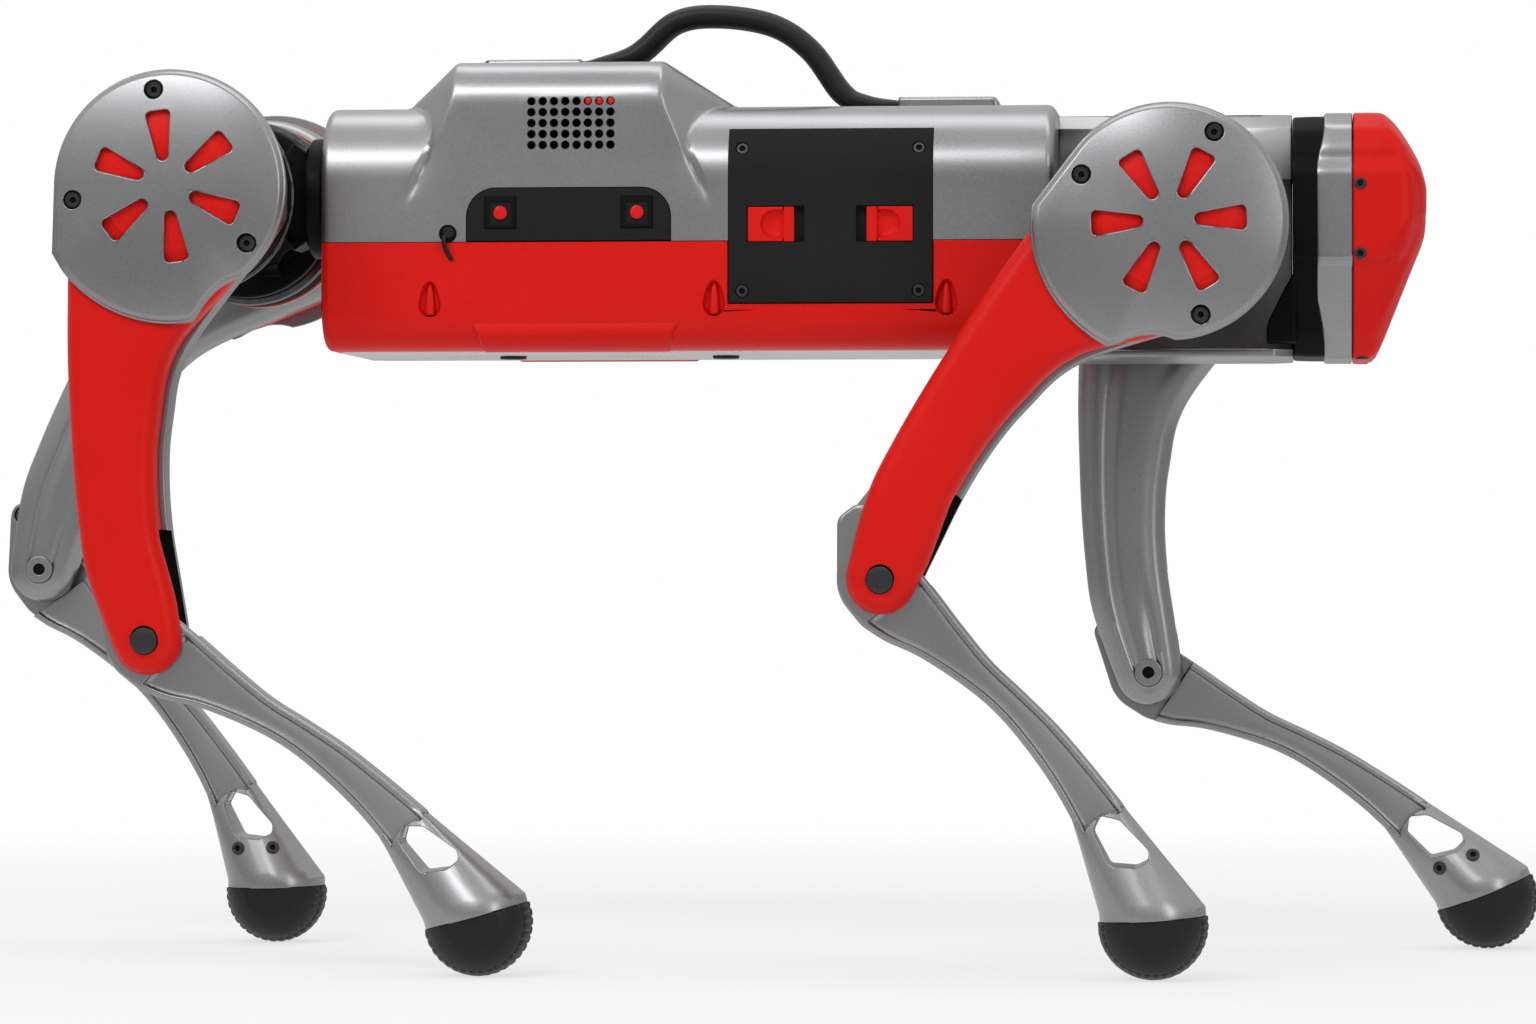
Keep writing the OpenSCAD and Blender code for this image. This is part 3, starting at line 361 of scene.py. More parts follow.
def plate(name, outline, levels, finish):
    """A plate whose outline is inset by each level's amount at that level's height."""
    rings = [[(*point, high) for point in inset(outline, amount)] for amount, high in levels]
    return solid(name, rings, finish)


def block(name, low, high, finish):
    """A square-edged cutter between two corners."""
    corners = rectangle(low[0], high[0], low[1], high[1])
    return plate(name, corners, [(0, low[2]), (0, high[2])], finish)


def disc(centre, radius, levels, finish, steps=48):
    """A round plate or cutter about an axis along z."""
    return plate("disc", arc(centre, radius, 0, 360 - 360 / steps, steps - 1), levels, finish)


def moved(piece, place, turn=0, axis="X"):
    """The piece turned by degrees about an axis and then moved to a place."""
    piece.data.transform(Matrix.Translation(place) @ Matrix.Rotation(radians(turn), 4, axis))
    return piece


def carve(piece, *cutters, way="DIFFERENCE"):
    """Cut the cutters out of the piece, or join them to it, with their own finish on the new faces."""
    for cutter in cutters:
        step = piece.modifiers.new("carve", "BOOLEAN")
        step.operation = way
        step.solver = "EXACT"
        step.material_mode = "TRANSFER"
        step.object = cutter
        graph = bpy.context.evaluated_depsgraph_get()
        mesh = bpy.data.meshes.new_from_object(piece.evaluated_get(graph))
        piece.modifiers.clear()
        piece.data = mesh
        bpy.data.objects.remove(cutter)
    return piece


def merge(name, pieces):
    """Several loose pieces as one piece, each face with its own finish."""
    form = bmesh.new()
    finishes = []
    for piece in pieces:
        done = len(form.faces)
        form.from_mesh(piece.data)
        form.faces.ensure_lookup_table()
        for face in form.faces[done:]:
            finish = piece.data.materials[face.material_index]
            if finish not in finishes:
                finishes.append(finish)
            face.material_index = finishes.index(finish)
        bpy.data.objects.remove(piece)
    return linked(name, form, finishes)


def soften(piece, width, angle=32, steps=2):
    """Round the piece's crisp edges and shade it smoothly between them."""
    bevel = piece.modifiers.new("soft_edges", "BEVEL")
    bevel.width = width
    bevel.segments = steps
    bevel.limit_method = "ANGLE"
    bevel.angle_limit = radians(angle)
    bevel.use_clamp_overlap = False
    bevel.harden_normals = True
    piece.data.shade_smooth()
    return piece


def put(template, name, place, body, stands_for, width, angle):
    """A copy of a template at its place, riding on a body and standing for a CAD node."""
    form = bmesh.new()
    form.from_mesh(template.data)
    bmesh.ops.remove_doubles(form, verts=form.verts, dist=0.02)
    bmesh.ops.triangulate(form, faces=[face for face in form.faces if len(face.verts) > 4])
    form.transform(place)
    if place.determinant() < 0:
        bmesh.ops.reverse_faces(form, faces=form.faces)
    piece = linked(name, form, template.data.materials)
    if width:
        soften(piece, width, angle)
    else:
        piece.data.shade_smooth()
        piece.data.set_sharp_from_angle(angle=radians(angle))
    even_light = piece.modifiers.new("even_light", "WEIGHTED_NORMAL")
    even_light.keep_sharp = True
    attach(piece, body)
    if stands_for:
        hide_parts(stands_for)


TO_METRES = Matrix.Scale(MM, 4)


# ---- Leg sizes, in millimetres in the leg's own plane ----
# x runs down the limb, y to its front, and z is the distance out from the middle plane.

THIGH, SHIN = 228, 218
HIP_R, KNEE_R, BOW, ARM = 54, 17.8, 22, 45
INNER, SPLIT, OUTER, COVER_TOP = 112.5, 135, 154, 165
SLOT = (126.5, 143.5)
MOTOR_R, LEVER_R, PIN_R = 41.5, 32, 4.5
COVER_R, LOBE_R, DOME_R, DOME_FALL = 59, 69, 55, 7.4
SCREW_TURNS, SCREW_CIRCLE = (192, 281, 57.5), 48.97
FOOT_R, ANKLE_TURN = 27.5, radians(-34.5)
LEVER_TURN, KNEE = 166, (THIGH, 0)


def spine(s):
    """How far the thigh's middle line lies to the front of its axis."""
    return 0 if s <= 0 or s >= THIGH else -BOW * sin(pi * s / THIGH) ** 0.8


def thigh_outline():
    """The round hip, the bowed arm and the round knee, counter-clockwise."""
    halves = [(0.35, 0.66), (0.51, 0.54), (0.63, 0.5), (0.75, 0.49), (0.87, 0.49)]
    back, front = [[(s * THIGH, spine(s * THIGH) + sign * half * ARM) for s, half in halves]
                   for sign in (-1, 1)]
    return even(smooth([*arc((0, 0), HIP_R, 175, 280, 7), *back, *arc(KNEE, KNEE_R, -70, 95, 9),
                        *reversed(front), *arc((0, 0), HIP_R, 70, 160, 6)], 6, closed=True), 2.4)


def linkage_cutters(finish):
    """The room for the crank, the rod and the shin's head inside the thigh."""
    reach = LEVER_R + PIN_R + 5
    low, high = SLOT
    return [disc((0, 0), reach, [(0, low), (0, high)], finish),
            block("room", (0, -LEVER_R - 7, low), (THIGH + 60, -9, high), finish),
            disc(KNEE, reach + 1, [(0, low), (0, high)], finish),
            block("room", (0.755 * THIGH, -14, low), (THIGH + 60, 50, high), finish)]


def middle(point):
    """The place on the thigh's middle line that belongs to a point of its outline."""
    share = clamped(point.x / 80)
    down = min(max(point.x, 0), THIGH) * share * share * (3 - 2 * share)
    return Vector((down, spine(down)))


def to_front(point):
    """1 on the arm's front edge, 0 at its back and at both round ends."""
    side = clamped((point.y - spine(point.x)) / 12)
    return side * clamped((point.x - 52) / 25) * clamped((THIGH - 22 - point.x) / 30)


def crowned(outline, levels, shares):
    """Rings by insets, and then by shares of the way to the middle line, with a sink at the back."""
    rings = [[(*point, high) for point in inset(outline, amount)] for amount, high in levels]
    last = inset(outline, levels[-1][0])
    backs = [(1 - to_front(point)) * clamped(point.x / 60) for point in last]
    for share, high, sink in shares:
        rings.append([(*point.lerp(middle(point), share), high + sink * back)
                      for point, back in zip(last, backs)])
    return rings


def thigh_outer_template():
    """Red half of the thigh: a broad crowned face and a rounded rim, narrower at the front."""
    outline = thigh_outline()
    narrow = [point.lerp(less, to_front(point)) for point, less in zip(outline, inset(outline, 3.2))]
    levels = [(0.6, SPLIT + 0.15), (0, SPLIT + 0.8), *rounded(153.0, 9.0, 9, 1.15)]
    shares = [(0.3, 153.55, 0), (0.6, 153.85, 0), (0.85, OUTER - 0.05, 0)]
    shell = solid("thigh_outer", crowned(even(narrow, 2.4, 1), levels, shares), RED)
    pin_seat = [(0, SPLIT - 1), (0, OUTER - 1.1), (-1.1, OUTER), (-2, OUTER + 1)]
    carve(shell, *linkage_cutters(BLACK_AND_HOLLOW_SHADE),
          disc((0, 0), MOTOR_R + 0.3, [(0, 142), (0, OUTER + 2)], BLACK_AND_HOLLOW_SHADE, 64),
          disc(KNEE, 6.7, pin_seat, BLACK_SCREW, 32))
    lug = plate("lug", [Vector(point) for point in ((64, 0), (77, 0), (75, 7), (66, 10.5))],
                [(0, SPLIT + 1), (0, SPLIT + 9), (1, SPLIT + 10)], RED)
    head = [(0, SPLIT + 9), (0, SPLIT + 10.9), (0.5, SPLIT + 11.3)]
    return merge("thigh_outer", [shell, lug, disc((70.5, 5.5), 2.4, head, BLACK_SCREW, 20)])


def knee_pin_template():
    """Knee pin with its domed black cap, and the three socket screws of the hip cover."""
    dome = [(0, OUTER - 2), (0, OUTER + 0.9), (0.4, OUTER + 1.3), (2.2, OUTER + 1.6)]
    pieces = [disc(KNEE, 6.6, dome, BLACK_SCREW, 40),
              disc(KNEE, 5.9, [(0, INNER + 1.2), (0, OUTER - 2.2)], DARK_STEEL, 24)]
    high = SCREW_LEVEL - 0.3
    for turn in SCREW_TURNS:
        centre = polar(SCREW_CIRCLE, turn)
        screw = disc(centre, 4.3, [(0, high - 2), (0, high - 0.8), (0.8, high)], BLACK_SCREW, 36)
        ring = disc(centre, 2.8, [(0, high - 0.5), (-0.4, high + 0.2)], BLACK_SCREW, 36)
        socket = disc(centre, 1.7, [(0, high - 1.8), (-0.1, high + 0.6)], BLACK_AND_HOLLOW_SHADE, 6)
        pieces.append(carve(screw, ring, socket))
    return merge("knee_pin", pieces)


def cornered(points, radius):
    """Straight sides between small round corners."""
    outline = []
    for k, point in enumerate(points):
        here, before, after = Vector(point), Vector(points[k - 1]), Vector(points[(k + 1) % len(points)])
        start = here + (before - here).normalized() * radius
        end = here + (after - here).normalized() * radius
        outline += bend(start, here, end, (0, 0.25, 0.5, 0.75, 1))
    return outline


def thigh_inner_template():
    """Body-side half of the thigh, with a sunk crease beside its back edge."""
    levels = [(0.6, SPLIT - 0.15), (0, SPLIT - 0.8)]
    levels += [(edge, INNER + 1.2 + OUTER - high) for edge, high in rounded(OUTER, 8.5, 9)]
    shares = [(0.12, INNER + 0.7, 0), (0.26, INNER + 0.35, 0.7), (0.36, INNER + 0.2, 1.7),
              (0.5, INNER + 0.1, 1.2), (0.68, INNER, 0.1), (0.86, INNER, 0)]
    shell = solid("thigh_inner", crowned(thigh_outline(), levels, shares), SILVER)
    carve(shell, *linkage_cutters(BLACK_AND_HOLLOW_SHADE),
          disc((0, 0), 30.2, [(0, INNER - 1), (0, 119.2)], BLACK_AND_HOLLOW_SHADE, 64),
          disc(KNEE, 6.2, [(0, INNER - 2), (0, SPLIT + 1)], BLACK_SCREW, 32))
    washer = disc(KNEE, 7.4, [(1, INNER - 1.3), (0.2, INNER - 1.1), (0, INNER + 0.5)], SILVER, 36)
    carve(washer, disc(KNEE, 3.0, [(-0.6, INNER - 2), (0, INNER - 0.7), (0, INNER + 1)], BLACK_SCREW, 24))
    # A near-black disc in the washer's hole: painted shade.
    hole = disc(KNEE, 3.3, [(0, INNER - 0.5), (0, INNER + 0.4)], BLACK_AND_HOLLOW_SHADE, 24)
    return merge("thigh_inner", [shell, washer, hole])


def cover_outline():
    """Round cover with a lobe that reaches down the thigh."""
    lobe_end, round_start = polar(LOBE_R, 14), polar(COVER_R, 42)
    pull = 0.43 * (lobe_end + round_start)
    hollow = bend(lobe_end, pull, round_start, [k / 12 for k in range(1, 12)])
    return [*arc((0, 0), COVER_R, 182, 268, 24), *arc((0, 0), COVER_R, 270, 271, 1),
            Vector((0.62 * COVER_R, 1 - COVER_R)), *arc((0, 0), LOBE_R, -49, 13, 24),
            *hollow, *arc((0, 0), COVER_R, 42, 178, 40)]


def cover_level(radius):
    """Height of the cover's dome at a radius."""
    return COVER_TOP - DOME_FALL * (radius / DOME_R) ** 2.3


SCREW_LEVEL = cover_level(SCREW_CIRCLE)


def hip_cover_template():
    """Domed vented cover, its rim a crisp step below the dome."""
    outline = cover_outline()
    rings = []
    for amount, high in ((0, 0.1), (0, 1.2), (0.5, 1.8), (1.3, 2.0), (1.5, 2.6), (1.9, 3.2)):
        rings.append([(*(point - point.normalized() * amount), OUTER + high) for point in outline])
    for share in (0.95, 0.935, 0.91, 0.88, 0.84, 0.79, 0.73, 0.66, 0.58, 0.49, 0.39, 0.28, 0.16, 0.07):
        rings.append([(*(point * share), cover_level(DOME_R * share)) for point in outline])
    cover = solid("hip_cover", rings, SILVER)
    reach, wall = 46, 2.6
    room = [(0, OUTER - 1)] + [(less, cover_level(reach - less) - wall) for less in (0, 12, 26)]
    # The room under the dome is near black: painted shade seen through the vents.
    inside = disc((0, 0), reach, room, BLACK_AND_HOLLOW_SHADE, 64)
    near, far, half, corner = 13, 38, 6.1, 2.66
    shape = [*arc((near + corner, 0), corner, 100, 260, 8),
             *arc((far - corner, corner - half), corner, 280, 355, 5),
             *arc((far - corner, half - corner), corner, 5, 80, 5)]
    through = [(0, OUTER + 1), (0, COVER_TOP - 4), (-0.8, COVER_TOP + 2)]
    vents = [moved(plate("vent", shape, through, SILVER), (0, 0, 0), 191 + 60 * i, "Z") for i in range(6)]
    seat = [(0, SCREW_LEVEL - 2.5), (0, COVER_TOP + 2)]
    wells = [disc(polar(SCREW_CIRCLE, turn), 4.8, seat, SILVER, 40) for turn in SCREW_TURNS]
    return carve(cover, inside, merge("vents", vents), merge("wells", wells))


# ---- Shin and foot ----

# Share of the length, place of the middle line and width of the shank.
SHIN_SHAPE = ((0.055, -0.16, 1.04), (0.115, 0, 0.92), (0.19, 0.29, 0.69), (0.3, 0.6, 0.485),
              (0.4, 0.88, 0.447), (0.51, 1.02, 0.5), (0.63, 1, 0.574), (0.75, 0.85, 0.7))
SHIN_LOW, SHIN_HIGH = SLOT[0] + 0.3, SLOT[1] - 0.3
CUP_R, CUP_X, CUP_RIM = 26.5, -7.5, -2.9


def shin_side(sign, less=0.0):
    """One edge of the shank, drawn in by an amount."""
    return [(s * SHIN, line * 14 + sign * (half * 19 - less)) for s, line, half in SHIN_SHAPE]


def in_ankle(points):
    """Points about the foot's centre, turned to the ankle's own axis."""
    turn = Matrix.Rotation(ANKLE_TURN, 4, "Z")
    return [turn @ Vector(point) + Vector((SHIN, 0, SPLIT)) for point in points]


def shank_form():
    """Flat shank with the round head behind the knee and the lever's tip."""
    tip = LEVER_R + PIN_R + 1.2
    outline = [*smooth(shin_side(-1), 6), *reversed(smooth(shin_side(1), 6)),
               *arc((6.5 - tip, 11), 6.5, 90, 180, 6), Vector((-tip, 3)), Vector((0.9 - tip, 0.9)),
               *arc((0, 0), 22.3, 225, 275, 10)]
    edge = [(1.6, 0), (0.5, 0.5), (0, 1.6)]
    levels = [(less, SHIN_LOW + deep) for less, deep in edge]
    levels += [(less, SHIN_HIGH - deep) for less, deep in reversed(edge)]
    return plate("shin", even(outline, 2.0, 1), levels, SILVER)


def ankle_form():
    """The flare from the shank's nearly square section to the round cup over the foot."""
    count = 48
    turns = [2 * pi * (i + 0.5) / count for i in range(count)]
    rings = []
    for share in (0, 0.2, 0.4, 0.6, 0.8, 0.92, 1):
        ring = []
        for a in turns:
            across, out = cos(a), sin(a)
            square = 1 / (abs(across) ** 7 + abs(out) ** 7) ** (1 / 7)
            start = Vector((0.7 * SHIN, 12.6 + 12.2 * square * across, SPLIT + 8.2 * square * out))
            end = in_ankle([(CUP_X, CUP_R * across, CUP_R * out)])[0]
            ring.append(start.lerp(end, share if abs(out) < 0.2 else share ** 1.12))
        rings.append(ring)
    rings.append(in_ankle([(CUP_RIM, CUP_R * cos(a), CUP_R * sin(a)) for a in turns]))
    return solid("ankle", rings, SILVER)


def ankle_screws(casting):
    """Two socket screws that lie on the ankle's body side."""
    tree = BVHTree.FromPolygons([v.co[:] for v in casting.data.vertices],
                                [face.vertices[:] for face in casting.data.polygons])
    screws = []
    for spot in in_ankle([(-24.8, -17.5, 0), (-24.8, 1.5, 0)]):
        place, facing = tree.ray_cast(Vector((spot.x, spot.y, -300)), Vector((0, 0, 1)))[:2]
        screw = disc((0, 0), 3.7, [(0, -3), (0, 0.7), (0.6, 1.2)], BLACK_SCREW, 28)
        carve(screw, disc((0, 0), 1.6, [(0, 0.3), (0, 2)], BLACK_AND_HOLLOW_SHADE, 6))
        turn = facing.to_track_quat("Z", "Y").to_matrix().to_4x4()
        screw.data.transform(Matrix.Translation(place) @ turn)
        screws.append(screw)
    return screws


def shin_template():
    """Silver casting: a round head behind the knee, a ribbed shank and a cup over the foot."""
    low, high = SHIN_LOW, SHIN_HIGH
    casting = shank_form()
    carve(casting, ankle_form(), way="UNION")
    hollow = [*smooth(shin_side(-1, 3.4), 5), *reversed(smooth(shin_side(1, 3.4), 5))]
    window = cornered([(181, 2.6), (189.7, 12), (191, 18.4), (187.5, 21.2), (167, 19.2), (159.5, 13.2),
                       (163, 6)], 1.6)
    slope = ((3, 2.4), (0.6, 1.6), (0, 0.2), (-0.4, -2))
    carve(casting,
          plate("hollow", hollow, [(less, high - deep) for less, deep in slope], SILVER),
          plate("hollow", hollow, [(less, low + deep) for less, deep in reversed(slope)], SILVER),
          plate("window", window, [(-1.5, low - 20), (0, low + 2), (0, high - 2), (-1.5, high + 20)], SILVER),
          disc((0, 0), 6.1, [(0, low - 3), (0, high + 3)], DARK_STEEL, 32),
          block("lever_room", (-100, -100, low - 1), (17, 100, SPLIT + 0.3), SILVER))
    boss = disc((0, 0), 10, [(0, low), (0, SPLIT + 1)], DARK_STEEL, 32)
    carve(boss, disc((0, 0), 6.1, [(0, low - 2), (0, high)], DARK_STEEL, 32))
    pin = disc(polar(LEVER_R, LEVER_TURN), PIN_R, [(0, low + 0.3), (0, high - 1)], DARK_STEEL, 24)
    return merge("shin", [casting, boss, pin, *ankle_screws(casting)])


def foot_template():
    """Rubber foot with knobs round its rim and two smooth sides."""
    form = bmesh.new()
    half_width, knob_reach, knob_depth, side_share = 24.0, 13, 0.7, 0.55
    turns, flat = 144, asin(half_width / FOOT_R)
    profile = [(FOOT_R * cos(flat * k / 16), FOOT_R * sin(flat * k / 16)) for k in range(-16, 17)]
    rows = []
    for i in range(turns):
        a = 2 * pi * i / turns
        row = []
        for k, (reach, out) in enumerate(profile):
            lane = (k + 1) // 6
            gap = (i + 2 * lane) % 4 == 0 or k % 6 == 5
            inner = reach - (knob_depth if gap and abs(out) < knob_reach else 0.0)
            row.append(form.verts.new((inner * cos(a), inner * sin(a), out)))
        rows.append(row)
    for i, row in enumerate(rows):
        after = rows[(i + 1) % turns]
        for k in range(len(profile) - 1):
            form.faces.new((row[k], after[k], after[k + 1], row[k + 1]))
    for k, bulge in ((0, -0.5), (-1, 0.5)):
        rim = [row[k] for row in rows]
        side = [form.verts.new((vert.co.x * side_share, vert.co.y * side_share, vert.co.z + bulge))
                for vert in rim]
        for i in range(turns):
            j = (i + 1) % turns
            form.faces.new((rim[i], rim[j], side[j], side[i]))
        form.faces.new(side)
    cut = bmesh.ops.bisect_plane(form, geom=[*form.verts, *form.edges, *form.faces],
                                 plane_co=(CUP_RIM, 0, 0), plane_no=(-1, 0, 0), clear_outer=True)
    edges = [part for part in cut["geom_cut"] if isinstance(part, bmesh.types.BMEdge)]
    bmesh.ops.contextual_create(form, geom=edges)
    form.transform(Matrix.Translation((SHIN, 0, SPLIT)) @ Matrix.Rotation(ANKLE_TURN, 4, "Z"))
    bmesh.ops.recalc_face_normals(form, faces=form.faces)
    return linked("foot", form, [RUBBER])


# ---- Legs in place ----

JOINTS = {joint["name"]: joint for joint in frame["record"]["behaviour"]["joints"]}


def plane_at(place, direction, is_left):
    """Matrix that stands a leg's flat drawing at a joint, turned to a direction."""
    c, s, out = cos(direction), sin(direction), 1 if is_left else -1
    turn = Matrix(((c, -s, 0, place[0]), (0, 0, out, 0), (s, c, 0, place[2]), (0, 0, 0, 1)))
    return turn @ TO_METRES


def leg_planes(leg):
    """The planes about the hip and about the knee of a leg."""
    hip, knee = (Vector(JOINTS[f"{leg}_{name}"]["pos_m"]) for name in ("hip_pitch", "knee"))
    is_left = leg.startswith("left")
    down = knee - hip
    drop = knee.z - FOOT_R * MM
    reach = sqrt((SHIN * MM) ** 2 - drop ** 2)
    return (plane_at(hip, atan2(down.z, down.x), is_left),
            plane_at(knee, atan2(-drop, reach), is_left))


def motor_rings_template():
    """Silver rim, thin red ring and dark front ring round the hip motor."""
    rim = [(2, 103.5), (0.4, 104.2), (0, 105.4), (0, 109.5), (0.8, 111.6), (3, 112.1)]
    rings = [disc((0, 0), 49.7, rim, SILVER, 96),
             disc((0, 0), 49.4, [(1, 99.4), (0, 99.8), (0, 101.8), (1, 102.2)], RED_MOTOR, 96),
             disc((0, 0), 49.5, [(3, 70.5), (0.6, 72), (0, 74), (0, 76.5), (1, 77)], DARK_STEEL, 96)]
    return merge("motor_rings", rings)


def dress_legs():
    """The shells, covers, shins and feet of the four legs."""
    pieces = [
        (thigh_outer_template(), "thigh_face", "thigh", "red_shell", "thigh_outer_shell", 0.0004, 32),
        (thigh_inner_template(), "thigh_back", "thigh", "silver_casting", "thigh_inner_shell", 0.0004, 32),
        (hip_cover_template(), "vented_cover", "thigh", "silver_casting", "hip_cover", 0.0005, 32),
        (knee_pin_template(), "knee_cap_screws", "thigh", "black_steel", "knee_pin", 0, 32),
        (shin_template(), "shin_casting", "shin", "silver_casting", "shin", 0.0005, 32),
        (foot_template(), "foot_tread", "shin", "black_rubber", "foot", 0.0003, 25),
        (motor_rings_template(), "motor_rings", "hip", "silver_casting", None, 0, 32),
    ]
    for leg in LEGS:
        at_hip, at_knee = leg_planes(leg)
        for template, name, body, slot, node_name, width, angle in pieces:
            stands_for = node_name and f"{leg}_{node_name}"
            place = at_knee if body == "shin" else at_hip
            put(template, f"{leg}_{name}", place, f"{leg}_{body}_body", stands_for, width, angle)
    for piece in pieces:
        bpy.data.objects.remove(piece[0])


# ---- Trunk sizes, in millimetres in the robot's own frame ----

BACK, FRONT, HALF = -203.5, 172, 85
TOP, BELLY, SEAM = 442, 316, 371.2
TOP_R, BELLY_R, END_R = 38, 20, 4.5
HUMP_BACK, HUMP_FRONT, HUMP_TOP, HUMP_R = -135, -28.5, 464.5, 22
SHOULDER_Z = HUMP_TOP - 1.1 * HUMP_R
GRILLE_BACK, GRILLE_LOW = -94.5, 420.5
TIPS, TIP_Z, SLOPES = (-156, -6.5), 391.6, (-162.5, 7)
BATTERY, BATTERY_X = (6.5, 110.5, 339.5, 428.4), 58.5
LATCH_OUT, LATCH_Z = 30.3, 379.5
CHANNELS = (-147, -1, 117.5)
AXIS_Z = 385
BUTTONS, BUTTON_Z = (-110.4, -40.3), 386

# Depth and inset of the rings that round the trunk's ends.
ROUND_END = [(END_R * (1 - cos(radians(a))), END_R * (1 - sin(radians(a))))
             for a in (0, 22, 45, 67, 90)]


def trunk_reach(turn, drawn):
    """Distance from the trunk's middle to its upper section in a direction, drawn in by an amount."""
    c, s = cos(turn), sin(turn)
    half, top, radius = HALF - drawn, TOP - drawn - AXIS_Z, TOP_R - drawn
    if c > 1e-6 and half / c * s <= top - radius:
        return half / c
    if s > 1e-6 and top / s * c <= half - radius:
        return top / s
    along = (half - radius) * c + (top - radius) * s
    return along + sqrt(along ** 2 - (half - radius) ** 2 - (top - radius) ** 2 + radius ** 2)


def hump_form():
    """The hump as one convex form: upright sides, round shoulders and sloped ends."""
    form = bmesh.new()
    corner = arc((HALF - HUMP_R, HUMP_TOP - HUMP_R), HUMP_R, 0, 90, 20)
    for x in (HUMP_BACK, HUMP_FRONT):
        for side in (-1, 1):
            for point in [*corner, Vector((HALF, SHOULDER_Z))]:
                form.verts.new((x, side * point.x, point.y))
    for side in (-1, 1):
        for x in TIPS:
            form.verts.new((x, side * HALF, TIP_Z))
        for x in SLOPES:
            form.verts.new((x, side * 47, TOP))
    bmesh.ops.convex_hull(form, input=form.verts)
    return form


def tip_line(x_edge, x_tip, z):
    """Where an end of the hump's side lies at a height."""
    return x_edge + (x_tip - x_edge) * clamped((SHOULDER_Z - z) / (SHOULDER_Z - TIP_Z))


def hump_reach(tree, x, turn):
    """Distance from the trunk's middle to the hump in a direction, or 0 where it is missed."""
    far, way = 300, Vector((0, -cos(turn), sin(turn)))
    hit = tree.ray_cast(Vector((x, 0, AXIS_Z)) + far * way, -way)
    return far - hit[3] if hit[0] is not None else 0.0


def valley(tree, turn, edge, way):
    """Where an end of the hump meets the plain trunk, at least 8 mm from the hump's edge."""
    near, far = edge, edge + 60 * way
    plain = trunk_reach(turn, 0) - 0.01
    for _ in range(24):
        half = (near + far) / 2
        near, far = (half, far) if hump_reach(tree, half, turn) > plain else (near, half)
    return near if abs(near - edge) > 8 else edge + 8 * way


def shell_stations(edges, valleys):
    """Places of the shell's rings along the trunk, close together at its ends and creases."""
    (back, front), (low, high) = edges, valleys
    return [*[BACK + deep for deep, _ in ROUND_END], *between(BACK + END_R, low - 1.5, 8), low - 1.5,
            low + 1.0, *between(low, back, 6), back - 1, back + 1.2, *between(back, front, 14),
            front - 1.2, front + 1, *between(front, high, 6), high - 1.0, high + 1.5,
            *between(high + 1.5, FRONT - END_R, 12), *[FRONT - deep for deep, _ in reversed(ROUND_END)]]


def shell_row(tree, turn):
    """The upper shell's points in one direction from its middle, from the back to the front."""
    crease_depth, crease_place, crease_width, crease_top = 1.7, 2.5, 2.8, 424
    face_z = AXIS_Z + HALF * tan(min(turn, 1.2))
    edges = [tip_line(HUMP_BACK, TIPS[0], face_z), tip_line(HUMP_FRONT, TIPS[1], face_z)]
    valleys = [valley(tree, turn, edge, way) for edge, way in zip(edges, (-1, 1))]
    fade = clamped((face_z - TIP_Z) / 9) * clamped((crease_top - face_z) / 12)
    row = []
    for x in shell_stations(edges, valleys):
        near_end = min(x - BACK, FRONT - x)
        drawn = END_R - sqrt(max(END_R ** 2 - max(END_R - near_end, 0) ** 2, 0))
        reach = trunk_reach(turn, drawn)
        if near_end > 10:
            reach = max(reach, hump_reach(tree, x, turn))
            crease = sum(exp(-(((x - edge) * way - crease_place) / crease_width) ** 2)
                         for edge, way in zip(edges, (-1, 1)))
            reach -= crease_depth * crease * fade / cos(turn)
        row.append(Vector((x, -reach * cos(turn), AXIS_Z + reach * sin(turn))))
    return row


def battery_room(over):
    """Cutter for the battery, open by an amount above it."""
    x0, x1, z0, z1 = BATTERY
    low, high = (x0 - 0.3, -HALF - 5, z0 - 0.3), (x1 + 0.3, -HALF + 14, z1 + over)
    return block("battery_room", low, high, BLACK_AND_HOLLOW_SHADE)


def upper_shell_piece():
    """Silver upper shell: a rounded trunk with the hump growing out of it in soft creases."""
    tree = BVHTree.FromBMesh(hump_form())
    low = atan2(SEAM + 0.15 - AXIS_Z, HALF)
    turns = [low, 0.0] + [radians(a) for a in (4.2, 7, 9.5, 11.5)]
    turns += [radians(13 + 1.5 * k) for k in range(31)]
    turns += [radians(a) for a in (61.5, 66, 72, 78, 84, 90)]
    rows = [shell_row(tree, turn) for turn in turns]
    mirrored = [[Vector((p.x, -p.y, p.z)) for p in row] for row in reversed(rows[:-1])]
    rings = [[row[k] for row in rows + mirrored] for k in range(len(rows[0]))]
    shell = solid("upper_shell_form", rings, SILVER)
    bore = [(0.0, 0), (0, 9.3), (-0.5, 9.9), (-1.4, 12)]
    holes = [moved(disc((0, 0), 1.7, bore, BLACK_AND_HOLLOW_SHADE, 20),
                   (GRILLE_BACK + 5.8 * i, -HALF + 10, GRILLE_LOW + 5.6 * j), 90, "X")
             for j in range(5) for i in range(8)]
    rolls = [moved(disc((0, 0), 13.5, [(0, -20), (0, 20)], BLACK_AND_HOLLOW_SHADE, 40), (x, y, z), 90, "Y")
             for x, z in ((BACK, 395.8), (FRONT, 376)) for y in (-48, 48)]
    panel = panel_plate("panel_room", -0.2, -HALF - 1, -HALF + 1.2, BLACK_AND_HOLLOW_SHADE)
    deck = block("deck_room", (FRONT - 12, -26.4, 404.4), (FRONT + 9, 26.4, 438.6), BLACK_AND_HOLLOW_SHADE)
    return carve(shell, merge("speaker_holes", holes), merge("wells", button_rooms(8.5)),
                 merge("rolls", rolls), panel, battery_room(0.3), deck)


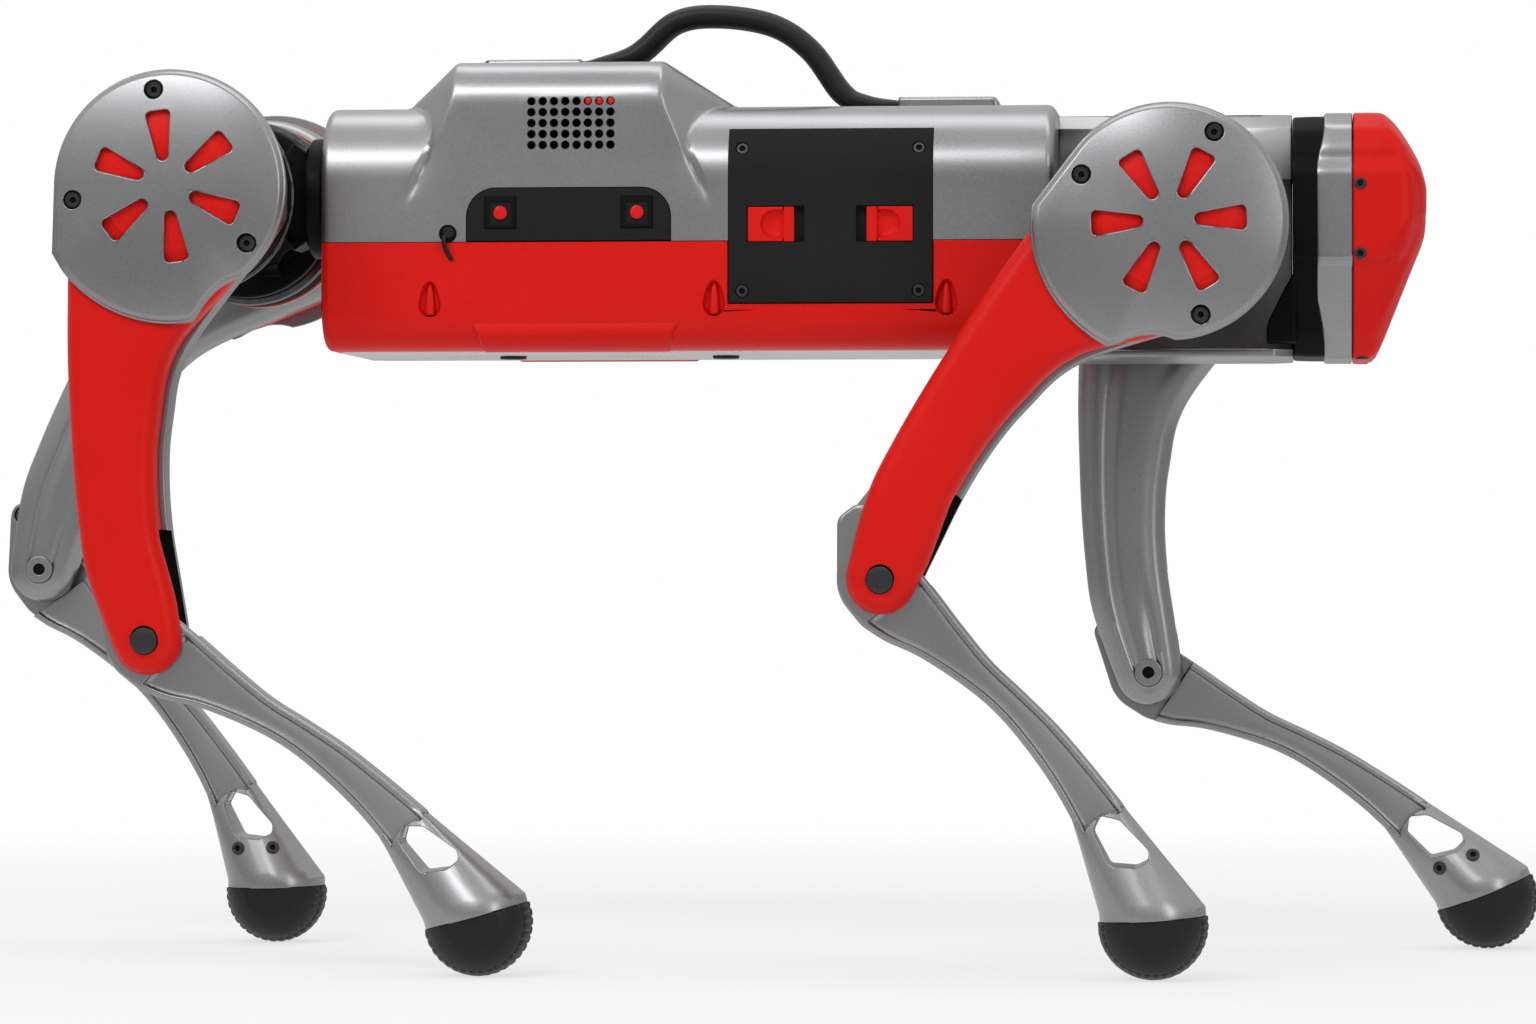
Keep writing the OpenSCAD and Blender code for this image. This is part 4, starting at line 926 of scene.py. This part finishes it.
def button_rooms(half):
    """Square cutters round both buttons."""
    return [block("room", (x - half, -HALF - 3, BUTTON_Z - half), (x + half, -HALF + 8, BUTTON_Z + half),
                  BLACK_AND_HOLLOW_SHADE) for x in BUTTONS]


def button_panel_piece():
    """Dark panel with a square hole for each button."""
    panel = panel_plate("button_panel", 0.2, -HALF - 0.5, -HALF + 1.2, DARK_PANEL, 0.4)
    return carve(panel, *button_rooms(8.2))


def panel_plate(name, drawn, low, high, finish, edge=0.0):
    """A plate in the button panel's shape, from one y to another, its outer edge rounded."""
    back, front, foot, top, corner = -128, -23, SEAM + 0.3 + drawn, 398.8, 15
    outline = [Vector((back + drawn, foot)), Vector((front - drawn, foot)),
               *arc((front - corner, top - corner), corner - drawn, 0, 90, 12),
               *arc((back + corner, top - corner), corner - drawn, 90, 180, 12)]
    levels = [(0, -high), (0, -low - edge)]
    if edge:
        levels += [(edge * 0.3, -low - edge * 0.3), (edge, -low)]
    return moved(plate(name, outline, levels, finish), (0, 0, 0), 90, "X")


def lower_shell_piece():
    """Red lower shell with its screw channels."""
    top = SEAM - 0.15
    side = [Vector((-HALF, top)), *arc((-HALF + BELLY_R, BELLY + BELLY_R), BELLY_R, 180, 270, 14)]
    section = side + [Vector((-point.x, point.y)) for point in reversed(side)]
    stations = [(BACK + deep, drawn) for deep, drawn in ROUND_END]
    stations += [(x, 0) for x in between(BACK + END_R, FRONT - END_R, 10)]
    stations += [(FRONT - deep, drawn) for deep, drawn in reversed(ROUND_END)]
    rings = []
    for x, drawn in stations:
        ring = []
        for point in section:
            z = min(point.y + (drawn if point.y < BELLY + BELLY_R else 0), top)
            ring.append((x, copysign(max(abs(point.x) - drawn, 0), point.x), z))
        rings.append(ring)
    shell = solid("lower_shell_form", rings, RED)
    right = [(0, -9.3), (3.6, -8.2), (5.6, -4.5), (5.2, 0), (3.7, 5.4), (1.6, 8.6), (0, 9.2)]
    egg = right + [(-x, y) for x, y in reversed(right[1:-1])]
    egg = even(smooth(egg, 5, closed=True), 1.1, 1)
    scoop = [(1.9, -3.6), (1.0, -3.1), (0.3, -2.0), (0, -0.5), (-0.1, 0), (-0.8, 1.5)]
    channels = []
    for s in (-1, 1):
        for x in CHANNELS:
            channel = moved(plate("channel", egg, scoop, RED), (0, 0, 0), 0 if s < 0 else 180, "Z")
            channels.append(moved(channel, (x, s * HALF, 342.1), -90 * s, "X"))
    return carve(shell, merge("channels", channels), battery_room(5))


def battery_piece():
    """Dark panel wrapped over the trunk's side, with two latch windows and four corner screws."""
    x0, x1, z0, z1 = BATTERY
    centre = Vector((HALF - TOP_R, TOP - TOP_R))
    last = degrees(asin((z1 - centre.y) / (TOP_R + 1)))
    heights = [z0] + between(z0, centre.y, 5)
    outer = [Vector((HALF + 1, z)) for z in heights] + arc(centre, TOP_R + 1, 0, last, 14)
    inner = [Vector((HALF - 4, z)) for z in heights] + arc(centre, TOP_R - 4, 0, last + 1.5, 14)
    section = outer + list(reversed(inner))
    rings = [[(x, -point.x, min(point.y, z1)) for point in section]
             for x in (x0, x0 + 1, BATTERY_X, x1 - 1, x1)]
    panel = solid("battery_panel", rings, DARK_PANEL)
    cutters = []
    for s in (-1, 1):
        a, b = sorted((BATTERY_X + s * (LATCH_OUT + 12.1), BATTERY_X + s * (LATCH_OUT - 17.1)))
        cutters.append(block("latch_room", (a, -HALF - 4, LATCH_Z - 9.2), (b, -HALF + 3.5, LATCH_Z + 9.2),
                             DARK_PANEL))
    for place in battery_corners():
        well = disc((0, 0), 3.4, [(0, -2.2), (0, -0.5), (-0.5, 0.4), (-0.6, 4)], DARK_PANEL, 28)
        well.data.transform(place)
        cutters.append(well)
    return carve(panel, merge("latch_rooms", cutters))


def battery_corners():
    """Places and tilts of the battery panel's corner screws."""
    z0, z1 = BATTERY[2:]
    middle_y, middle_z, radius = HALF - TOP_R, TOP - TOP_R, TOP_R + 1
    out, above_foot, below_top = 45, 6, 10
    corners = []
    for s in (-1, 1):
        for z in (z0 + above_foot, z1 - below_top):
            rise = max(z - middle_z, 0)
            y = -(middle_y + sqrt(radius ** 2 - rise ** 2))
            turn = Matrix.Rotation(radians(90) - asin(rise / radius), 4, "X")
            corners.append(Matrix.Translation((BATTERY_X + s * out, y, z)) @ turn)
    return corners


def battery_screws():
    """Socket screws in the battery panel's corners."""
    screws = [socket_screw(3.1, -2.2, -0.3) for _ in range(4)]
    for screw, place in zip(screws, battery_corners()):
        screw.data.transform(place)
    return merge("battery_screws", screws)


def socket_screw(radius, low, high, depth=1.0):
    """Black socket head with a hexagonal recess."""
    head = disc((0, 0), radius, [(0, low), (0, high - 0.3), (0.35, high)], BLACK_SCREW, 28)
    recess = [(0, high - depth), (-0.15, high + 0.5)]
    return carve(head, disc((0, 0), radius * 0.5, recess, BLACK_AND_HOLLOW_SHADE, 6))


def latch_piece(s):
    """Red latch with a round finger recess and a raised strip on its inner side."""
    body = plate("latch", rectangle(-11.8, 11.8, -8.85, 8.85), [(0, -5), (0, -0.5), (0.4, 0)], RED)
    middle_x, flat_x, radius = -1.9 * s, -6.7 * s, 7.3
    well = [Vector((flat_x, radius))]
    well += [Vector((middle_x - s * point.x, point.y)) for point in arc((0, 0), radius, 95, 265, 20)]
    well += [Vector((flat_x, -radius))]
    well = even(well if s < 0 else list(reversed(well)), 1.2, 1)
    dish = plate("dish", well, [(3.4, -4.2), (2.2, -4.0), (0.6, -2.8), (0.1, -0.8), (0, 0.05), (-0.5, 1.5)],
                 RED_MOTOR)
    near, far = sorted((-6.2 * s, -13 * s))
    strip = block("strip", (near, -10, -0.8), (far, 10, 1), RED)
    near, far = sorted((-6.0 * s, -6.6 * s))
    carve(body, dish, strip, block("groove", (near, -10, -1.6), (far, 10, 1), RED_MOTOR))
    return moved(body, (BATTERY_X + s * LATCH_OUT, -HALF - 1, LATCH_Z), 90, "X")


def button_piece(x):
    """Square button: a black rim, a dished grey field and a red round cap."""
    rim = plate("rim", rectangle(-8, 8, -8, 8), [(0, -5), (0, 1.3), (0.5, 1.8)], BLACK_AND_HOLLOW_SHADE)
    field = rectangle(-5.3, 5.3, -5.3, 5.3)
    carve(rim, plate("field", field, [(0, 0.2), (-0.6, 1.4), (-0.9, 3)], DARK_PANEL))
    cap = disc((0, 0), 3.6, [(0, 0.1), (0, 1.2), (0.4, 1.55), (1.6, 1.7)], RED_LENS, 36)
    return moved(merge("button", [rim, cap]), (x, -HALF, BUTTON_Z), 90, "X")


def grip_piece():
    """Rubber grip: a rounded bar that rises over the hump and flattens at both ends."""
    back, front, top, half_width, thickness, taper = -77, 88, 493, 11, 12, 30
    span, rear, fore = front - back, HUMP_TOP + 2.9, TOP + 3.7
    shape = [(0, rear), (0.045, rear + 1), (0.17, rear + 6.5), (0.29, top - 3), (0.43, top), (0.6, top - 5),
             (0.72, top - 18.5), (0.82, fore + 6.5), (0.9, fore + 1), (1, fore)]
    line = smooth([(back + share * span, z) for share, z in shape], 8)
    rings = []
    for i, point in enumerate(line):
        way = (line[min(i + 1, len(line) - 1)] - line[max(i - 1, 0)]).normalized()
        share = min(point.x - back, front - point.x) / taper
        thick = thickness * (0.22 + 0.28 * share if share < 1 else 0.5)
        ring = []
        for k in range(28):
            a = 2 * pi * k / 28
            c, s = cos(a), sin(a)
            y = half_width * copysign(abs(c) ** 0.75, c)
            up = thick * copysign(abs(s) ** 0.85, s)
            ring.append((point.x - way.y * up, y, point.y + way.x * up))
        rings.append(ring)
    return solid("grip", rings, RUBBER)


# ---- Neck, collar and head ----

NECK_X, COLLAR_X, RED_X, NOSE_X = 292, 304.6, 322.7, 360
HEAD_HALF, PANEL_RISE, EYE_Y, EYE_Z = 59.4, 3.4, 26, 393.6
HEAD_LOW, HEAD_TOP, CHEEK_Z = 311.5, 437.6, 361.2


def ease(value, low, high):
    """0 below low, 1 above high and smooth between."""
    share = clamped((value - low) / (high - low))
    return share * share * (3 - 2 * share)


def along(points, x):
    """A profile's value at x."""
    for (x0, v0), (x1, v1) in zip(points, points[1:]):
        if x <= x1:
            return v0 + (v1 - v0) * max(x - x0, 0) / (x1 - x0)
    return points[-1][1]


def head_section():
    """Rounded front view of the head, counter-clockwise."""
    h = HEAD_HALF
    left = [(h - 18, HEAD_TOP), (h - 5, HEAD_TOP - 8), (h, HEAD_TOP - 19), (h, CHEEK_Z),
            (h - 12, HEAD_LOW + 12), (h - 23, HEAD_LOW)]
    points = [Vector(point) for point in left] + [Vector((-y, z)) for y, z in reversed(left)]
    return even(even(list(reversed(points)), 1.6, 0), 1.6, 4)


def head_ring(section, x, less=0.0, half=HEAD_HALF, low=HEAD_LOW, top=HEAD_TOP, front=1000.0):
    """The head's section at x, drawn in, its raised side panel ending at a slanted front edge."""
    half, low, top = half - less, low + less, top - less
    panel_foot, panel_top, panel_mid, lean = CHEEK_Z, (405, 414.5), 390, 24
    ring = []
    for point in section:
        z = low + (point.y - HEAD_LOW) * (top - low) / (HEAD_TOP - HEAD_LOW)
        edge = front + 5 - 5 * ((z - panel_mid) / lean) ** 2
        panel = ease(z, panel_foot - 1.4, panel_foot + 1.4) * (1 - ease(z, *panel_top))
        panel *= 1 - ease(x, edge - 3, edge + 1.5)
        y = point.x * half / HEAD_HALF
        if abs(y) > half - 9:
            y += copysign(PANEL_RISE * panel, y)
        ring.append((x, y, z))
    return ring


def nose_discs(name, radius, levels, finish):
    """Two discs side by side on the nose."""
    return merge(name, [moved(disc((0, 0), radius, levels, finish, 40), (NOSE_X, y, EYE_Z), 90, "Y")
                        for y in (-EYE_Y, EYE_Y)])


def head_piece():
    """Red shell of the head: a slanted chin, a short nose and a raised panel on each side."""
    section = head_section()
    tops = smooth([(322, 437.6), (334, 437.6), (339, 436.6), (345, 431), (351.5, 421.5), (357, 411.5),
                   (360, 402)], 8)
    lows = smooth([(322, 311.5), (330, 311.7), (334.5, 314), (339, 323), (347, 343), (355, 363),
                   (359, 373), (360, 379)], 8)
    halves = smooth([(322, HEAD_HALF), (344, HEAD_HALF), (350, 58.4), (355, 55.5), (358.5, 50.5),
                     (360, 46)], 8)
    nose_start, panel_end = 353, 350
    stations = [RED_X + 0.9 + (nose_start - RED_X) * k / 16 for k in range(16)]
    stations += [nose_start + (NOSE_X - nose_start) * sin(radians(a))
                 for a in (0, 15, 30, 42, 54, 66, 78, 90)]
    rings = [head_ring(section, x, less, along(halves, x), along(lows, x), along(tops, x), panel_end)
             for x, less in [(RED_X + 0.3, 0.6)] + [(x, 0.0) for x in stations]]
    head = solid("head_form", rings, RED)
    seats = nose_discs("seats", 7.2, [(0, -4), (0, -0.6), (-1.0, 0.3), (-1.8, 2)], BLACK_METAL)
    return carve(head, seats)


def lens_piece():
    """Two dark lenses in rimmed seats on the nose."""
    levels = [(0, -4.5), (0, 0.2), (0.5, 0.5), (1.1, 0.4), (1.4, -0.6), (2.4, -0.4), (4.4, 0.1)]
    return nose_discs("lenses", 7.1, levels, BLACK_SCREW)


def collar_piece():
    """Silver collar behind the red shell, its back edge waved over the neck."""
    section = head_section()
    depths = ((0, 1.2), (0.4, 0.4), (1.4, 0), (6, 0), (12, 0), (17.5, 0), (18, 0.5))
    rings = []
    for deep, less in depths:
        ring = []
        for x, y, z in head_ring(section, COLLAR_X + deep, less):
            wave = 3.6 * (ease(z, 408, 430) + 1 - ease(z, 318, 345)) * (1 - ease(deep, 1, 10))
            ring.append((x + wave, y, z))
        rings.append(ring)
    return solid("collar_form", rings, SILVER)


def neck_piece():
    """Black neck, flush with the collar and drawn back at its foot."""
    section = head_section()
    depths = ((0.3, 2.4), (1.2, 1.6), (9, 1.3), (17.1, 1.3))
    rings = [head_ring(section, NECK_X + deep, less, top=HEAD_TOP - 0.4) for deep, less in depths]
    pieces = [solid("neck_form", rings, BLACK_METAL)]
    foot = [Vector((NECK_X + x, z)) for x, z in ((2, 319.5), (2, 357.5), (-4, 347), (-12, 331), (-13, 327),
                                                 (-13, 319.5))]
    for y in (-45, 45):
        form = plate("neck_foot", foot, [(0.8, -10), (0, -9), (0, 9), (0.8, 10)], BLACK_METAL)
        pieces.append(moved(form, (0, y, 0), 90, "X"))
    return merge("neck_form", pieces)


def head_screws():
    """Black screws on the head's sides, top and underside."""
    screws = []
    for side in (-1, 1):
        for z in (400, 364.5):
            place = (326.6, side * (HEAD_HALF + PANEL_RISE), z)
            screws.append(moved(socket_screw(3.1, -1.5, 0.8, 0.6), place, -90 * side, "X"))
        for z, turn in ((HEAD_TOP - 0.3, 0), (HEAD_LOW + 0.3, 180)):
            screws.append(moved(socket_screw(3.6, -1, 0.3), (327.5, side * 34, z), turn, "X"))
    return merge("head_screws", screws)


# ---- Small trunk pieces ----


def belly_piece():
    """Plate under the trunk, its colour painted pale as a reflection of the white floor, with two black pads.
    """
    pan = plate("belly", even(rectangle(-198, 167, -62, 62), 8, 2), [(0, 1.5), (0, 0.2), (0.4, -0.3)],
                PALE_REFLECTION_PLATE)
    pads = [plate("pad", even(arc((x, 0), 7, 0, 340, 17), 2, 0), [(0, 0), (0, -1.4), (0.6, -1.9)], RUBBER)
            for x in (-115, -3)]
    return moved(merge("belly", [pan, *pads]), (0, 0, BELLY))


def tray_piece():
    """Raised tray on each side of the belly's round edge, with a slanted upper facet."""
    back, front = -127, -18
    rows = ((-17, -0.5, 0), (-19, 0.0, 0), (-27, 2.0, 2), (-31, 2.5, 3), (-45, 2.5, 4), (-60, 2.2, 4.5),
            (-75, 1.5, 5), (-86, 0.6, 5))
    trays = []
    for side in (-1, 1):
        rings = []
        for turn, high, drawn in rows:
            foot = polar(BELLY_R - 1, turn)
            face = polar(BELLY_R + high, turn)
            ring = [(back + drawn, foot), (front - drawn, foot), (front - 2 - drawn, face),
                    (back + 2 + drawn, face)]
            rings.append([(x, side * (HALF - BELLY_R + point.x), BELLY + BELLY_R + point.y)
                          for x, point in ring])
        trays.append(solid("tray", rings, RED))
    return merge("trays", trays)


def port_plug_piece():
    """Rubber plug in its port, with the strap that hangs from it."""
    port = disc((0, 0), 4.6, [(0, -2), (0, 0.3), (0.5, 0.6)], BLACK_METAL, 32)
    plug = disc((0.4, 0.3), 2.9, [(0, 0), (0, 1.6), (0.8, 2.3)], RUBBER, 28)
    line = smooth([(-1, 0, 1), (-1.6, -2.0, 2.4), (-1.6, -5.5, 2.6), (-0.4, -9, 1.9), (1.4, -12.5, 1.0),
                   (2.2, -13.6, 0.7)], 5)
    ring = arc((0, 0), 1, 0, 330, 11)
    strap = [[(x + 1.15 * point.x, y + 0.35 * point.x, z + 0.7 * point.y) for point in ring]
             for x, y, z in line]
    pieces = [port, plug, solid("strap", strap, RUBBER)]
    return moved(merge("plug", pieces), (-137.5, -HALF, 375.5), 90, "X")


def channel_posts():
    """Screw posts that stand in the channels of the lower shell."""
    rows = ((334.2, 2.2, 2.4), (336, 2.6, 2.6), (342, 2.3, 2.9), (347.5, 1.7, 3.2), (350, 0.9, 3.4))
    posts = []
    for side in (-1, 1):
        for x in CHANNELS:
            rings = [[(*point, z) for point in arc((x, side * (HALF - back)), radius, 0, 342, 19)]
                     for z, radius, back in rows]
            posts.append(solid("post", rings, RED))
    return merge("posts", posts)


def handle_block_piece(place, way, high, base):
    """Silver block over one end of the grip, its far end rounded."""
    outline = [Vector((0.3, 0)), Vector((52, 0)), *arc((49, high - 3), 3, 0, 90, 6), Vector((0.3, high))]
    form = plate("handle_block", outline, [(0.8, -15), (0, -14.2), (0, 14.2), (0.8, 15)], SILVER)
    moved(form, (0, 0, 0), 90, "X").data.transform(Matrix.Scale(way, 4, (1, 0, 0)))
    if way < 0:
        form.data.flip_normals()
    return moved(form, (place, 0, base))


def dress_trunk():
    """The shells, panels, buttons, latches and grip of the trunk."""
    blocks = [handle_block_piece(-77, -1, 5.8, HUMP_TOP), handle_block_piece(88, 1, 7.4, TOP)]
    silver, red, dark = "silver_casting", "red_shell", "dark_panel"
    rubber, screw = "black_rubber", "black_steel"
    rear, front = BUTTONS
    pieces = [
        (upper_shell_piece(), "upper_shell_casting", "trunk", silver, "upper_shell", 0, 30),
        (lower_shell_piece(), "lower_shell_tub", "trunk", red, "lower_shell", 0.0004, 32),
        (button_panel_piece(), "button_plate", "trunk", dark, "button_panel", 0, 32),
        (battery_piece(), "battery_cover", "trunk", dark, "battery", 0.0004, 32),
        (latch_piece(-1), "rear_latch_plate", "rear_latch_body", "red_latch", "rear_latch", 0.0003, 32),
        (latch_piece(1), "front_latch_plate", "front_latch_body", "red_latch", "front_latch", 0.0003, 32),
        (button_piece(rear), "rear_button_cap", "rear_button_body", dark, "rear_button", 0.0003, 32),
        (button_piece(front), "front_button_cap", "front_button_body", dark, "front_button", 0.0003, 32),
        (grip_piece(), "grip_tube", "trunk", rubber, "handle_grip", 0, 50),
        (head_piece(), "head_casing", "trunk", red, "head_shell", 0, 40),
        (collar_piece(), "collar_ring", "trunk", silver, "head_collar", 0, 40),
        (neck_piece(), "neck_block", "trunk", rubber, "neck_seal", 0.0005, 32),
        (head_screws(), "head_socket_screws", "trunk", screw, None, 0.0002, 32),
        (lens_piece(), "nose_lenses", "trunk", "black_motor", None, 0, 32),
        (belly_piece(), "belly_plate", "trunk", silver, None, 0, 32),
        (tray_piece(), "belly_trays", "trunk", red, None, 0.0005, 25),
        (port_plug_piece(), "port_plug", "trunk", rubber, None, 0, 40),
        (channel_posts(), "channel_screw_posts", "trunk", red, "trunk_screws", 0, 40),
        (merge("blocks", blocks), "handle_end_blocks", "trunk", silver, "handle_blocks", 0.0009, 32),
        (battery_screws(), "battery_corner_screws", "trunk", screw, None, 0.0002, 32),
    ]
    for template, name, body, slot, stands_for, width, angle in pieces:
        put(template, name, TO_METRES, body, stands_for, width, angle)
        bpy.data.objects.remove(template)


# ---- CAD nodes that stay ----

SLOT_FINISH = {
    "silver_casting": SILVER, "red_shell": RED, "red_motor": RED_MOTOR, "black_motor": BLACK_METAL,
    "dark_panel": DARK_PANEL, "black_rubber": RUBBER, "black_steel": BLACK_SCREW, "dark_steel": DARK_STEEL,
    "red_latch": RED, "red_light": RED_LENS,
}
EDGE_WIDTHS = {"head_shell": 0.0022, "head_collar": 0.0012, "neck_seal": 0.0012, "hip_carrier": 0.0015,
               "chassis": 0.0008}
PLAIN_EDGE, BROAD_EDGE = 0.0003, 0.001


def finish_cad_nodes():
    """Every CAD node takes the finish of its slot and softened edges."""
    for part in frame["record"]["subparts"]:
        shown = frame["nodes"][part["node"]]
        shown.data.materials.clear()
        shown.data.materials.append(SLOT_FINISH[part["material_slot"]])
        weld = shown.modifiers.new("weld", "WELD")
        weld.merge_threshold = 0.00002
        widths = [width for key, width in EDGE_WIDTHS.items() if part["node"].endswith(key)]
        width = widths[0] if widths else PLAIN_EDGE
        soften(shown, width, steps=3 if width > BROAD_EDGE else 2)


bpy.context.scene.view_settings.view_transform = "Standard"
make_camera()
make_floor()
make_world()
make_lamp("key", place=(-0.7, -1.5, 1.6), size=(1.6, 0.5), power=16)
make_lamp("fill", place=(1.5, -1.6, 0.9), size=(0.5, 1.2), power=6)
make_lamp("top", place=(0.1, 0.15, 1.7), size=(1.8, 0.5), power=6)
finish_cad_nodes()
dress_legs()
dress_trunk()
